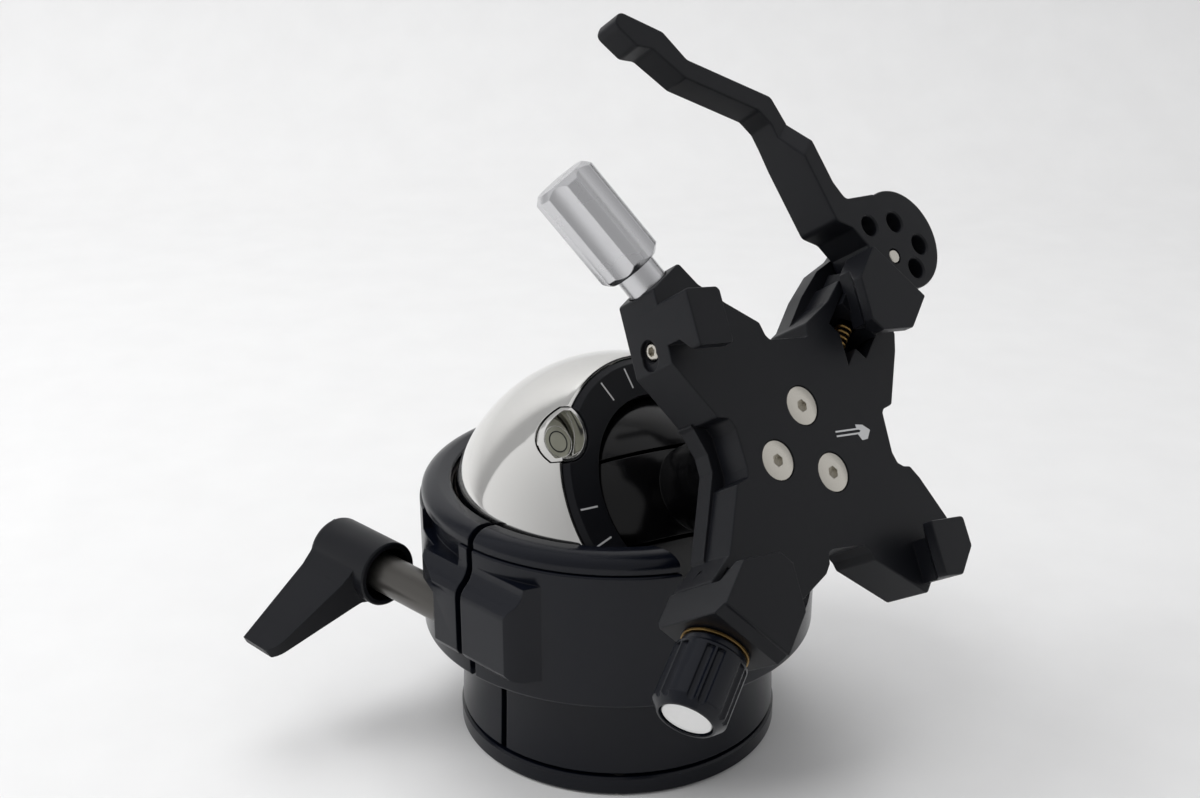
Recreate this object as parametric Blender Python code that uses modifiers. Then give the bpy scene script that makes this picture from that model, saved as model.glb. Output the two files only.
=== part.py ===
"""Ball head for a camera: a polished ball in a split housing, a second ball inside it that pans
and tilts, and a four-jaw dovetail clamp with a cam lever on top.

Run it with: blender --background --python part.py
Units are metres, +Z is up, and the origin is the centre of the foot's underside.
"""

import math

import bmesh
import bpy
from mathutils import Matrix, Vector

MM = 0.001

# Clearances and mesh fineness
GAP = 0.3 * MM
SLIDE_GAP = 0.3 * MM
PIN_GAP = 0.25 * MM
OVERRUN = 6.0 * MM
WELD = 0.0005 * MM
LARGE_STEPS = 36
MEDIUM_STEPS = 20
SMALL_STEPS = 12
ARC_STEP = math.radians(12.0)
CORNER_STEPS = 2

# Outer ball and where the photograph shows it leaning
BALL_RADIUS = 32.5 * MM
SPIGOT_TOP = 8.5 * MM
BALL_FLOOR_GAP = 0.78 * MM
BALL_CENTRE_HEIGHT = SPIGOT_TOP + BALL_FLOOR_GAP + BALL_RADIUS
RING_AZIMUTH = math.radians(-42.56)
RING_LEAN = math.radians(54.56)
LEVEL_AZIMUTH = math.radians(-132.0)
RIM_HEIGHT = 18.1 * MM

# Inner ball, its tilting slice and the neck
INNER_RADIUS = 25.0 * MM
SLICE_HALF = 7.8 * MM
SLICE_GAP = 0.7 * MM
AXLE_RADIUS = 2.5 * MM
AXLE_HALF = 19.7 * MM
AXLE_EDGE = 0.5 * MM
BUSH_RADIUS = 4.0 * MM
BUSH_HALF = 7.6 * MM
NECK_RADIUS = 8.1 * MM
NECK_BOTTOM = 15.5 * MM
FLANGE_RADIUS = 12.8 * MM
FLANGE_EDGE = 0.6 * MM
NECK_FLARE_SHARES = [
    (0.0, 0.93), (0.2, 0.87), (0.36, 0.58), (0.5, 0.26), (0.6, 0.08), (0.75, 0.02), (1.0, 0.0),
]

# Clamp: its attitude, deck and dovetail
CLAMP_AZIMUTH = math.radians(-46.105)
CLAMP_LEAN = math.radians(57.098)
CLAMP_SPIN = math.radians(79.675)
DECK_HEIGHT = 53.17 * MM
DECK_THICKNESS = 9.66 * MM
LOWER_DEPTH = 6.0 * MM
LIP_HALF = 17.0 * MM
LIP_HEIGHT = 7.38 * MM
UNDERCUT = 2.4 * MM
UNDERCUT_LOW = 3.0 * MM
DECK_CORNER = 0.8 * MM
DECK_BEVEL = 0.3 * MM

# Outlines of the deck, in shares of LIP_HALF
DECK_SHARES = [
    (-1.435, 0.965), (-1.425, 1.706), (-1.024, 1.959), (-0.841, 1.735), (-0.547, 1.529),
    (-0.159, 1.3), (-0.12, 1.165), (-0.076, 1.118), (0.459, 1.106), (0.494, 1.259),
    (0.9, 1.475), (1.165, 1.705), (1.795, 1.075), (1.718, 0.865), (1.424, 0.3),
    (1.288, 0.265), (1.253, 0.224), (1.229, -0.2), (1.265, -0.312), (1.341, -0.359),
    (1.435, -0.371), (1.535, -0.506), (1.782, -0.976), (1.735, -1.112), (1.159, -1.688),
    (0.535, -1.241), (0.512, -1.159), (0.453, -1.076), (0.0, -1.053), (-0.065, -1.076),
    (-0.094, -1.188), (-0.176, -1.276), (-0.547, -1.453), (-1.127, -1.668),
    (-1.668, -1.127), (-1.347, -0.906), (-1.288, -0.8), (-1.018, -0.265), (-0.865, -0.224),
    (-0.841, -0.129), (-0.853, 0.265), (-0.906, 0.371), (-1.047, 0.394),
]
STRIP_SHARES = [
    (-1.1, 0.42), (-1.06, 0.37), (-0.97, 0.112), (-0.97, -0.071), (-1.171, -0.488),
    (-1.365, -0.88), (-1.347, -0.97), (-0.6, -0.9), (-0.3, 0.0), (-0.6, 0.5),
]
EAR_SHARES = [(1.24, 0.5), (1.8, 0.515), (2.24, 0.47), (2.62, 0.32)]
HOOK_A_SHARES = [(-1.43, 1.0), (-1.0, 1.0), (-1.0, 1.53), (-1.035, 1.565), (-1.43, 1.565)]
HOOK_D_SHARES = [(1.0, -1.0), (1.5, -1.015), (1.506, -1.33), (1.257, -1.588), (1.0, -1.565)]

# Screws of the deck
SCREW_CIRCLE = 7.19 * MM
SCREW_PHASE = math.radians(74.0)
SCREW_COUNT = 3
SCREW_HEAD = 3.45 * MM
SCREW_HEAD_DEPTH = 2.0 * MM
SCREW_SHANK = 1.5 * MM
SCREW_LENGTH = 14.6 * MM
SCREW_SINK = 0.1 * MM
SOCKET_RADIUS = 1.15 * MM
SOCKET_DEPTH = 1.1 * MM

# Sliding jaws, in a frame whose +X runs out along the jaw's diagonal
JAW_HALF = 7.0 * MM
JAW_CORNER_CUT = 1.5 * MM
JAW_B_END = 40.7 * MM
JAW_B_EDGE = 1.3 * MM
JAW_C_END = 39.0 * MM
JAW_BLOCK_START = 34.0 * MM
TONGUE_TOP_HALF = 4.6 * MM
TONGUE_BOTTOM_HALF = 5.6 * MM
TONGUE_START = 29.5 * MM

# Cam lever, in a frame on its pivot pin
PIN_PLACE = 44.55 * MM
PIN_RADIUS = 1.25 * MM
CAM_OFFSET = 4.6 * MM
CAM_RADIUS = 9.6 * MM
CAM_TOP = 4.0 * MM
RAMP_LENGTH = 4.5 * MM
HANDLE_CORNER = 1.6 * MM
CAM_HOLE_RADIUS = 1.9 * MM
EAR_ROUND = 5.5 * MM
CAM_HOLES = [
    (7.4 * MM, math.radians(126.0)), (7.1 * MM, math.radians(68.0)),
    (8.1 * MM, math.radians(15.0)), (5.6 * MM, math.radians(-26.0)),
]
HANDLE_OUTER_SHARES = [
    (-0.06, 1.27), (-0.885, 1.177), (-1.094, 1.51), (-1.365, 2.417), (-1.48, 2.865),
    (-1.667, 3.406), (-3.573, 4.073), (-3.99, 4.594), (-4.906, 4.938),
]
HANDLE_INNER_SHARES = [
    (-5.104, 4.688), (-4.698, 4.271), (-4.365, 4.24), (-3.729, 3.698), (-2.094, 3.115),
    (-1.875, 2.854), (-1.792, 2.563), (-1.688, 2.094), (-1.292, 0.74), (-0.917, 0.594),
    (-0.55, 0.1),
]

# Jaw spring, seen in its pocket
SPRING_RADIUS = 1.35 * MM
SPRING_WIRE = 0.28 * MM
SPRING_TURNS = 6.5
SPRING_POINTS = 10
SPRING_DEPTH = 3.0 * MM
SPRING_POCKET_START = 20.4 * MM
SPRING_POCKET_RADIUS = 2.1 * MM

# Black knob, on jaw B's diagonal
KNOB_DEPTH = 2.0 * MM
KNOB_RADIUS = 6.0 * MM
KNOB_LENGTH = 12.4 * MM
KNOB_CHAMFER = 1.5 * MM
KNOB_COLLAR_RADIUS = 5.4 * MM
KNOB_COLLAR = 1.4 * MM
KNOB_LOBES = 6
KNOB_GROOVE = 0.75 * MM
KNOB_GROOVE_SPREAD = math.radians(8.5)
KNOB_GROOVE_START = 1.9 * MM
CAP_RADIUS = 4.1 * MM
CAP_THICKNESS = 1.0 * MM
CAP_RECESS = 0.35 * MM
WASHER_RADIUS = 5.6 * MM
WASHER_THICKNESS = 0.45 * MM
STUD_RADIUS = 1.5 * MM
STUD_START = 24.6 * MM
STUD_BEYOND = 7.5 * MM
STUD_GAP = 0.2 * MM

# Silver knob, on arm A
SILVER_AZIMUTH = math.radians(124.0)
SILVER_DEPTH = 4.8 * MM
SILVER_FACE = 37.5 * MM
SILVER_START = 41.3 * MM
SILVER_LENGTH = 19.0 * MM
SILVER_RADIUS = 5.75 * MM
SILVER_CHAMFER = 1.1 * MM
SILVER_LOBES = 6
SILVER_FLUTE_RADIUS = 4.6 * MM
SILVER_FLUTE_DEPTH = 0.75 * MM
STEM_RADIUS = 3.65 * MM
STEM_START = 30.0 * MM
SILVER_STUD_RADIUS = 2.5 * MM
SILVER_STUD_START = 19.5 * MM
SILVER_STUD_OVERLAP = 4.0 * MM
SETSCREW_ALONG = 19.85 * MM
SETSCREW_DEPTH = 5.0 * MM
SETSCREW_RADIUS = 1.5 * MM
SETSCREW_START = 17.7 * MM
SETSCREW_LENGTH = 6.0 * MM
SETSCREW_SOCKET = 0.85 * MM
RECESS_RADIUS = 1.95 * MM
RECESS_SHIFT = 1.3 * MM

# Index ring and level
RING_OUTER = 26.2 * MM
RING_TOP = 18.79 * MM
RING_BOTTOM = 14.5 * MM
RING_INNER = 18.8 * MM
RING_CHAMFER = 1.1 * MM
RING_CHAMFER_DROP = 0.75 * MM
LEVEL_PLACE = 27.2 * MM
LEVEL_POCKET = 5.9 * MM
LEVEL_FLOOR = 12.9 * MM
CUP_WALL = 0.6 * MM
CUP_FLOOR = 0.6 * MM
CUP_TOP = 18.5 * MM
CUP_TRIM = 0.1 * MM
VIAL_RADIUS = 4.1 * MM
VIAL_PLACE = 26.7 * MM
VIAL_THICKNESS = 1.0 * MM
VIAL_SEAT = 0.2 * MM

# Foot, housing and rings round the ball
FOOT_RADIUS = 31.3 * MM
FOOT_THICKNESS = 3.7 * MM
FOOT_CHAMFER = 0.4 * MM
BUSHING_RADIUS = 8.0 * MM
BUSHING_FLANGE = 10.0 * MM
BUSHING_FLANGE_HEIGHT = 1.4 * MM
THREAD_RADIUS = 4.0 * MM
THREAD_CHAMFER = 0.8 * MM
FOOT_SCREW_CIRCLE = 28.7 * MM
FOOT_SCREW_COUNT = 4
FOOT_SCREW_HEAD = 2.2 * MM
FOOT_SCREW_SHANK = 1.2 * MM
FOOT_SCREW_HEAD_DEPTH = 1.2 * MM
FOOT_SCREW_LENGTH = 9.0 * MM
BASE_BOTTOM = 4.2 * MM
BASE_RADIUS = 31.0 * MM
BASE_WAIST = 30.6 * MM
BASE_WAIST_HEIGHT = 15.0 * MM
BORE_RADIUS = 26.8 * MM
DRUM_WALL = 5.5 * MM
DRUM_RADIUS = BALL_RADIUS + DRUM_WALL
DRUM_BELOW = 19.08 * MM
DRUM_BOTTOM = BALL_CENTRE_HEIGHT - DRUM_BELOW
DRUM_ABOVE = 6.82 * MM
DRUM_TOP = BALL_CENTRE_HEIGHT + DRUM_ABOVE
DRUM_EDGE = 0.8 * MM
DRUM_FILLET = 1.3 * MM
CAVITY_GAP = 0.8 * MM
COUNTERBORE_DEPTH = 4.4 * MM
SEAT_SHOULDER = DRUM_TOP - COUNTERBORE_DEPTH
RIM_WALL = 2.4 * MM
COUNTERBORE = DRUM_RADIUS - RIM_WALL
LIP_INSET = 0.55 * MM
LIP_RADIUS = BALL_RADIUS - LIP_INSET
RING_CAP_INSET = 0.4 * MM
RING_CAP_RADIUS = DRUM_RADIUS - RING_CAP_INSET
RING_CAP_HEIGHT = 3.4 * MM
RING_CAP_TOP = DRUM_TOP + RING_CAP_HEIGHT
RING_CAP_ROUND = 1.4 * MM
RING_CAP_FACE = 1.6 * MM
SKIRT_CLEARANCE = 1.5 * MM
SKIRT_INNER = BALL_RADIUS + SKIRT_CLEARANCE
SKIRT_DEPTH = 2.0 * MM
LOWER_SEAT_INNER = 18.0 * MM

# Slit, boss and shaft side of the housing
SLIT_AZIMUTH = math.radians(-134.5)
SLIT_HALF = 0.75 * MM
SHAFT_INSET = 2.2 * MM
SHAFT_PLACE = DRUM_RADIUS - SHAFT_INSET
SHAFT_BELOW = 8.78 * MM
SHAFT_HEIGHT = BALL_CENTRE_HEIGHT - SHAFT_BELOW
BOSS_RISE = 3.0 * MM
BOSS_FACE = DRUM_RADIUS + BOSS_RISE
BOSS_ROOT = 4.4 * MM
BOSS_INNER = DRUM_RADIUS - BOSS_ROOT
BOSS_OUTER = BOSS_FACE + DRUM_EDGE
BOSS_LEFT = 5.0 * MM
BOSS_RIGHT = 12.4 * MM
BOSS_END = 15.0 * MM
BOSS_REACH = 12.4 * MM
BOSS_REACH_FACE = BOSS_FACE - DRUM_WALL / 2 + CAVITY_GAP / 2
BOSS_STEP = 6.8 * MM
BOSS_EXIT = 8.4 * MM
BOSS_OVERHANG = 5.7 * MM
BOSS_DROP = 6.0 * MM
BOSS_BOTTOM = SHAFT_HEIGHT - BOSS_DROP
BOSS_UNDER = 2.8 * MM
BOSS_UNDER_SHARES = [(-1.0, 0.0714), (-0.2143, 0.4643), (0.0, 0.8214)]
BOSS_SHOULDER = 3.0 * MM
BOSS_SHOULDER_LIFT = 6.8 * MM
BOSS_SHOULDER_TURN = math.radians(55.0)
BOSS_HOLLOW = 4.15 * MM
BOSS_STEPS = 4
BOSS_EDGE = 0.5 * MM
BOSS_CORNER = 5.0 * MM
SLOT_HEIGHT = 4.2 * MM
SLOT_BOTTOM = DRUM_TOP - SLOT_HEIGHT
SLOT_DEPTH = 1.9 * MM
SLOT_START = math.radians(4.5)
SLOT_END = math.radians(30.0)
NOTCH_AZIMUTH = math.radians(-44.0)
NOTCH_HALF = 18.9 * MM
NOTCH_BELOW = 12.28 * MM
NOTCH_BOTTOM = BALL_CENTRE_HEIGHT - NOTCH_BELOW
NOTCH_ROUND = 8.0 * MM
NOTCH_INNER = 22.0 * MM

# Main lever, in a frame whose +Z runs along the clamp screw, away from the slit
SHAFT_RADIUS = 3.75 * MM
SCREW_END = 12.2 * MM
CLAMP_SCREW_RADIUS = 2.5 * MM
SHAFT_END = 38.7 * MM
HUB_RADIUS = 6.35 * MM
HUB_START = 26.7 * MM
HUB_END = 43.8 * MM
HUB_ROUND = 1.5 * MM
HUB_BORE = 5.25 * MM
HUB_WEB = 2.3 * MM
LEVER_SCREW_HEAD = 4.0 * MM
LEVER_SCREW_HEAD_HEIGHT = 2.0 * MM
LEVER_SCREW_SHANK = 2.3 * MM
LEVER_SCREW_REACH = 5.0 * MM
LEVER_SOCKET = 1.7 * MM
BLADE_SIDE_SHARES = [
    (0.0, 0.98), (0.35, 0.9), (0.72, 0.62), (1.0, 0.26), (1.34, -0.06), (3.7, -1.6),
    (3.6, -1.82), (0.75, -0.82), (0.0, -0.92),
]
BLADE_PLAN_SHARES = [
    (0.0, -0.1), (0.9, -0.16), (3.7, -0.3), (3.7, -1.72), (0.95, -2.25), (0.0, -2.5),
]
BLADE_NECK_ROUND = 2.6 * MM
BLADE_TIP_ROUND = 4.0 * MM

RING_FRAME = Matrix.Rotation(RING_AZIMUTH, 4, "Z") @ Matrix.Rotation(RING_LEAN, 4, "Y")
CLAMP_FRAME = Matrix.Rotation(CLAMP_AZIMUTH, 4, "Z") @ Matrix.Rotation(CLAMP_LEAN, 4, "Y")


def clear_scene():
    """Removes what Blender starts with."""
    for obj in list(bpy.data.objects):
        bpy.data.objects.remove(obj, do_unlink=True)


def make_collection(name):
    """A new collection in the scene."""
    collection = bpy.data.collections.new(name)
    bpy.context.scene.collection.children.link(collection)
    return collection


def make_finish(name, colour, metallic, roughness):
    """A Principled material."""
    material = bpy.data.materials.new(name)
    material.use_nodes = True
    shader = material.node_tree.nodes["Principled BSDF"]
    shader.inputs["Base Color"].default_value = (*colour, 1.0)
    shader.inputs["Metallic"].default_value = metallic
    shader.inputs["Roughness"].default_value = roughness
    return material


clear_scene()
PARTS = make_collection("ball_head")
CUTTERS = make_collection("cutters")


def black_anodised():
    return make_finish("black_anodised", (0.023, 0.025, 0.03), 0.6, 0.42)


def polished_ball():
    return make_finish("polished_ball", (0.82, 0.82, 0.81), 1.0, 0.08)


def satin_silver():
    return make_finish("satin_silver", (0.72, 0.72, 0.73), 1.0, 0.28)


def stainless():
    return make_finish("stainless", (0.62, 0.6, 0.57), 1.0, 0.3)


def dark_steel():
    return make_finish("dark_steel", (0.16, 0.155, 0.15), 0.9, 0.38)


def bronze():
    return make_finish("bronze", (0.42, 0.3, 0.16), 1.0, 0.35)


def slide_plastic():
    return make_finish("slide_plastic", (0.07, 0.055, 0.045), 0.0, 0.5)


def vial_acrylic():
    return make_finish("vial_acrylic", (0.75, 0.76, 0.68), 0.0, 0.1)


def white_disc():
    return make_finish("white_disc", (0.86, 0.86, 0.85), 0.3, 0.3)


FINISHES = {
    maker.__name__: maker()
    for maker in (
        black_anodised, polished_ball, satin_silver, stainless, dark_steel, bronze,
        slide_plastic, vial_acrylic, white_disc,
    )
}


def add_frame(name, matrix, parent=None):
    """An empty that carries the pieces built in its frame."""
    empty = bpy.data.objects.new(name, None)
    PARTS.objects.link(empty)
    empty.parent = parent
    empty.matrix_local = matrix
    bpy.context.view_layer.update()
    return empty


def place(obj, frame, finish):
    """Links an object under its frame: a part if it has a finish, else a helper that only cuts or joins."""
    (PARTS if finish else CUTTERS).objects.link(obj)
    obj.parent = frame
    if finish:
        obj.data.materials.append(FINISHES[finish])
    else:
        obj.hide_render = True
        obj.display_type = "WIRE"
    return obj


def turned(name, profile, frame, finish=None, steps=MEDIUM_STEPS, ring=False):
    """Turns a profile of (radius, height) points round the frame's Z axis. It runs down its outer side."""
    mesh = bpy.data.meshes.new(name)
    edges = [(i, i + 1) for i in range(len(profile) - 1)]
    if ring:
        edges.append((len(profile) - 1, 0))
    mesh.from_pydata([(r, 0.0, z) for r, z in profile], edges, [])
    obj = bpy.data.objects.new(name, mesh)
    screw = obj.modifiers.new("turn", "SCREW")
    screw.steps = steps
    screw.render_steps = steps
    screw.use_merge_vertices = True
    screw.merge_threshold = WELD
    return place(obj, frame, finish)


def rod(name, radius, low, high, frame, finish=None, steps=SMALL_STEPS, x=0.0, y=0.0):
    """A cylinder along the frame's Z axis."""
    work = bmesh.new()
    bmesh.ops.create_cone(
        work, cap_ends=True, segments=steps, radius1=radius, radius2=radius, depth=high - low,
        matrix=Matrix.Translation((x, y, (low + high) / 2)),
    )
    return from_bmesh(name, work, frame, finish)


def block(name, low, high, frame, finish=None):
    """A box between two corners."""
    size = Vector(high) - Vector(low)
    centre = (Vector(high) + Vector(low)) / 2
    work = bmesh.new()
    bmesh.ops.create_cube(work, size=1.0, matrix=Matrix.LocRotScale(centre, None, size))
    return from_bmesh(name, work, frame, finish)


def from_bmesh(name, work, frame, finish):
    mesh = bpy.data.meshes.new(name)
    work.to_mesh(mesh)
    work.free()
    return place(bpy.data.objects.new(name, mesh), frame, finish)


def slab(name, outline, low, high, frame, finish=None, bevel=0.0, segments=1):
    """A flat outline between two heights, made as a filled curve and then a mesh."""
    curve = bpy.data.curves.new(name, "CURVE")
    curve.dimensions = "2D"
    curve.fill_mode = "BOTH"
    curve.extrude = (high - low) / 2
    spline = curve.splines.new("POLY")
    spline.points.add(len(outline) - 1)
    for point, (x, y) in zip(spline.points, outline):
        point.co = (x, y, 0.0, 1.0)
    spline.use_cyclic_u = True
    shape = bpy.data.objects.new(name, curve)
    CUTTERS.objects.link(shape)
    work = mesh_of(shape)
    bmesh.ops.translate(work, verts=work.verts, vec=(0.0, 0.0, (low + high) / 2))
    bpy.data.objects.remove(shape, do_unlink=True)
    obj = from_bmesh(name, work, frame, finish)
    if bevel:
        add_bevel(obj, bevel, segments)
    return obj


def mesh_of(obj):
    """The evaluated mesh of an object, welded, as a bmesh in the object's own coordinates."""
    bpy.context.view_layer.update()
    graph = bpy.context.evaluated_depsgraph_get()
    mesh = bpy.data.meshes.new_from_object(obj.evaluated_get(graph))
    work = bmesh.new()
    work.from_mesh(mesh)
    bpy.data.meshes.remove(mesh)
    bmesh.ops.remove_doubles(work, verts=work.verts, dist=WELD)
    bmesh.ops.recalc_face_normals(work, faces=work.faces)
    return work


def add_bevel(obj, width, segments=1):
    bevel = obj.modifiers.new("edge", "BEVEL")
    bevel.width = width
    bevel.segments = segments
    bevel.limit_method = "ANGLE"
    bevel.angle_limit = math.radians(50.0)


def apply_boolean(obj, other, operation):
    """A live Boolean with a helper object."""
    boolean = obj.modifiers.new(operation.lower() + "_" + other.name, "BOOLEAN")
    boolean.operation = operation
    boolean.object = other
    boolean.solver = "EXACT"


def cut(obj, *cutters):
    for cutter in cutters:
        apply_boolean(obj, cutter, "DIFFERENCE")


def join(obj, *others):
    for other in others:
        apply_boolean(obj, other, "UNION")


def keep_inside(obj, other):
    apply_boolean(obj, other, "INTERSECT")


def use_manifold(obj):
    """For pieces with so many flush faces that the exact solver drops them."""
    for modifier in obj.modifiers:
        if modifier.type == "BOOLEAN":
            modifier.solver = "MANIFOLD"


def scaled(shares, size):
    """Points given in shares of a size."""
    return [(x * size, y * size) for x, y in shares]


def sphere_arc(radius, start, end, centre=0.0):
    """Points of a circle round (0, centre) from one polar angle to another, 0 being the top."""
    count = max(1, math.ceil(abs(end - start) / ARC_STEP))
    angles = [start + (end - start) * i / count for i in range(count + 1)]
    return [(radius * math.sin(a), centre + radius * math.cos(a)) for a in angles]


def rounded(points, radius, only=None):
    """The outline with each corner, or only some, replaced by an arc of this radius or what its sides allow."""
    out = []
    for i, point in enumerate(points):
        here = Vector(point)
        before = Vector(points[i - 1]) - here
        after = Vector(points[(i + 1) % len(points)]) - here
        turn = before.angle(after)
        reach = min(radius / math.tan(turn / 2), before.length / 2, after.length / 2)
        if (only is not None and i not in only) or turn > math.radians(165.0):
            out.append(tuple(here))
            continue
        a = here + before.normalized() * reach
        b = here + after.normalized() * reach
        for k in range(CORNER_STEPS + 1):
            t = k / CORNER_STEPS
            out.append(tuple(a * (1 - t) ** 2 + here * 2 * t * (1 - t) + b * t * t))
    return out


def circle(radius, x, y, steps):
    """Points of a full circle."""
    turns = [math.tau * i / steps for i in range(steps)]
    return [(x + radius * math.cos(a), y + radius * math.sin(a)) for a in turns]


def socket_screw(name, head, head_depth, shank, length, socket, depth, frame):
    """A countersunk screw: its flat head's face at height 0, its shank down -Z."""
    profile = [(0.0, 0.0), (head, 0.0), (shank, -head_depth), (shank, -length), (0.0, -length)]
    screw = turned(name, profile, frame, "stainless", SMALL_STEPS)
    cut(screw, slab(name + "_hex", circle(socket, 0.0, 0.0, 6), -depth, OVERRUN, frame))


def countersink(name, head, head_depth, shank, length, gap, frame):
    """The hole for a countersunk screw, wider all round by the gap."""
    profile = [
        (0.0, OVERRUN), (head + gap, OVERRUN), (head + gap, -gap), (shank + gap, -head_depth - gap),
        (shank + gap, -length), (0.0, -length),
    ]
    return turned(name, profile, frame, None, SMALL_STEPS)


def spots(count, radius, phase, height, name, parent, flip=False):
    """Frames round a circle, their Z along the parent's, or against it where flipped."""
    frames = []
    for i in range(count):
        angle = phase + math.tau * i / count
        matrix = Matrix.Translation((radius * math.cos(angle), radius * math.sin(angle), height))
        if flip:
            matrix = matrix @ Matrix.Rotation(math.pi, 4, "X")
        frames.append(add_frame(f"{name}_{i}", matrix, parent))
    return frames


# Foot and housing

def foot_spots():
    return spots(FOOT_SCREW_COUNT, FOOT_SCREW_CIRCLE, 0.0, 0.0, "foot_screw_place", None, flip=True)


def build_foot(root):
    spigot = BORE_RADIUS - GAP
    flange = BUSHING_FLANGE + GAP
    ledge = SPIGOT_TOP - GAP - BUSHING_FLANGE_HEIGHT - GAP
    profile = [
        (flange, SPIGOT_TOP), (spigot, SPIGOT_TOP), (spigot, FOOT_THICKNESS),
        (FOOT_RADIUS - FOOT_CHAMFER, FOOT_THICKNESS), (FOOT_RADIUS, FOOT_THICKNESS - FOOT_CHAMFER),
        (FOOT_RADIUS, FOOT_CHAMFER), (FOOT_RADIUS - FOOT_CHAMFER, 0.0),
        (BUSHING_RADIUS + GAP, 0.0), (BUSHING_RADIUS + GAP, ledge), (flange, ledge),
    ]
    foot = turned("foot_plate", profile, root, "black_anodised", LARGE_STEPS, ring=True)
    top = SPIGOT_TOP - GAP
    shelf = top - BUSHING_FLANGE_HEIGHT
    profile = [
        (THREAD_RADIUS, top), (BUSHING_FLANGE, top), (BUSHING_FLANGE, shelf),
        (BUSHING_RADIUS, shelf), (BUSHING_RADIUS, 0.0), (THREAD_RADIUS + THREAD_CHAMFER, 0.0),
        (THREAD_RADIUS, THREAD_CHAMFER),
    ]
    turned("thread_bushing", profile, root, "stainless", MEDIUM_STEPS, ring=True)
    for i, spot in enumerate(foot_spots()):
        socket_screw(
            f"foot_screw_{i + 1}", FOOT_SCREW_HEAD, FOOT_SCREW_HEAD_DEPTH, FOOT_SCREW_SHANK,
            FOOT_SCREW_LENGTH, SOCKET_RADIUS * 0.8, SOCKET_DEPTH * 0.7, spot,
        )
        cut(foot, countersink(
            f"foot_hole_{i}", FOOT_SCREW_HEAD, FOOT_SCREW_HEAD_DEPTH, FOOT_SCREW_SHANK,
            FOOT_SCREW_LENGTH, PIN_GAP, spot,
        ))


def housing_profile():
    """Outer drum and base, then the bore, the hollow round the ball and the seat's shoulder."""
    hollow = BALL_RADIUS + CAVITY_GAP
    top = [(COUNTERBORE, DRUM_TOP), (DRUM_RADIUS - DRUM_EDGE / 2, DRUM_TOP)]
    drum = [
        (DRUM_RADIUS, DRUM_TOP - DRUM_EDGE / 2), (DRUM_RADIUS, DRUM_BOTTOM + DRUM_EDGE),
        (DRUM_RADIUS - DRUM_EDGE * 0.3, DRUM_BOTTOM + DRUM_EDGE * 0.3),
        (DRUM_RADIUS - DRUM_EDGE, DRUM_BOTTOM), (BASE_WAIST + DRUM_FILLET, DRUM_BOTTOM),
        (BASE_WAIST + DRUM_FILLET * 0.3, DRUM_BOTTOM - DRUM_FILLET * 0.3),
        (BASE_WAIST, DRUM_BOTTOM - DRUM_FILLET),
    ]
    base = [
        (BASE_WAIST, BASE_WAIST_HEIGHT), (BASE_RADIUS, BASE_BOTTOM + FOOT_CHAMFER),
        (BASE_RADIUS - FOOT_CHAMFER, BASE_BOTTOM), (BORE_RADIUS, BASE_BOTTOM),
    ]
    start = math.pi - math.asin(BORE_RADIUS / hollow)
    inside = sphere_arc(hollow, start, math.pi / 2, BALL_CENTRE_HEIGHT)
    return top + drum + base + inside + [(hollow, SEAT_SHOULDER), (COUNTERBORE, SEAT_SHOULDER)]


def slit_cutter(name, low, frame):
    return block(
        name, (NOTCH_INNER, -SLIT_HALF, low), (BOSS_FACE + OVERRUN, SLIT_HALF, RING_CAP_TOP + OVERRUN), frame,
    )


def notch_cutter(name, frame):
    """The U-shaped drop notch, its outline in a plane square to the notch's direction."""
    top = RING_CAP_TOP + OVERRUN
    outline = [(NOTCH_BOTTOM, -NOTCH_HALF), (NOTCH_BOTTOM, NOTCH_HALF), (top, NOTCH_HALF), (top, -NOTCH_HALF)]
    outline = rounded([(-z, y) for z, y in outline], NOTCH_ROUND, only=(0, 1))
    return slab(name, outline, NOTCH_INNER, DRUM_RADIUS + OVERRUN, frame)


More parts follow.
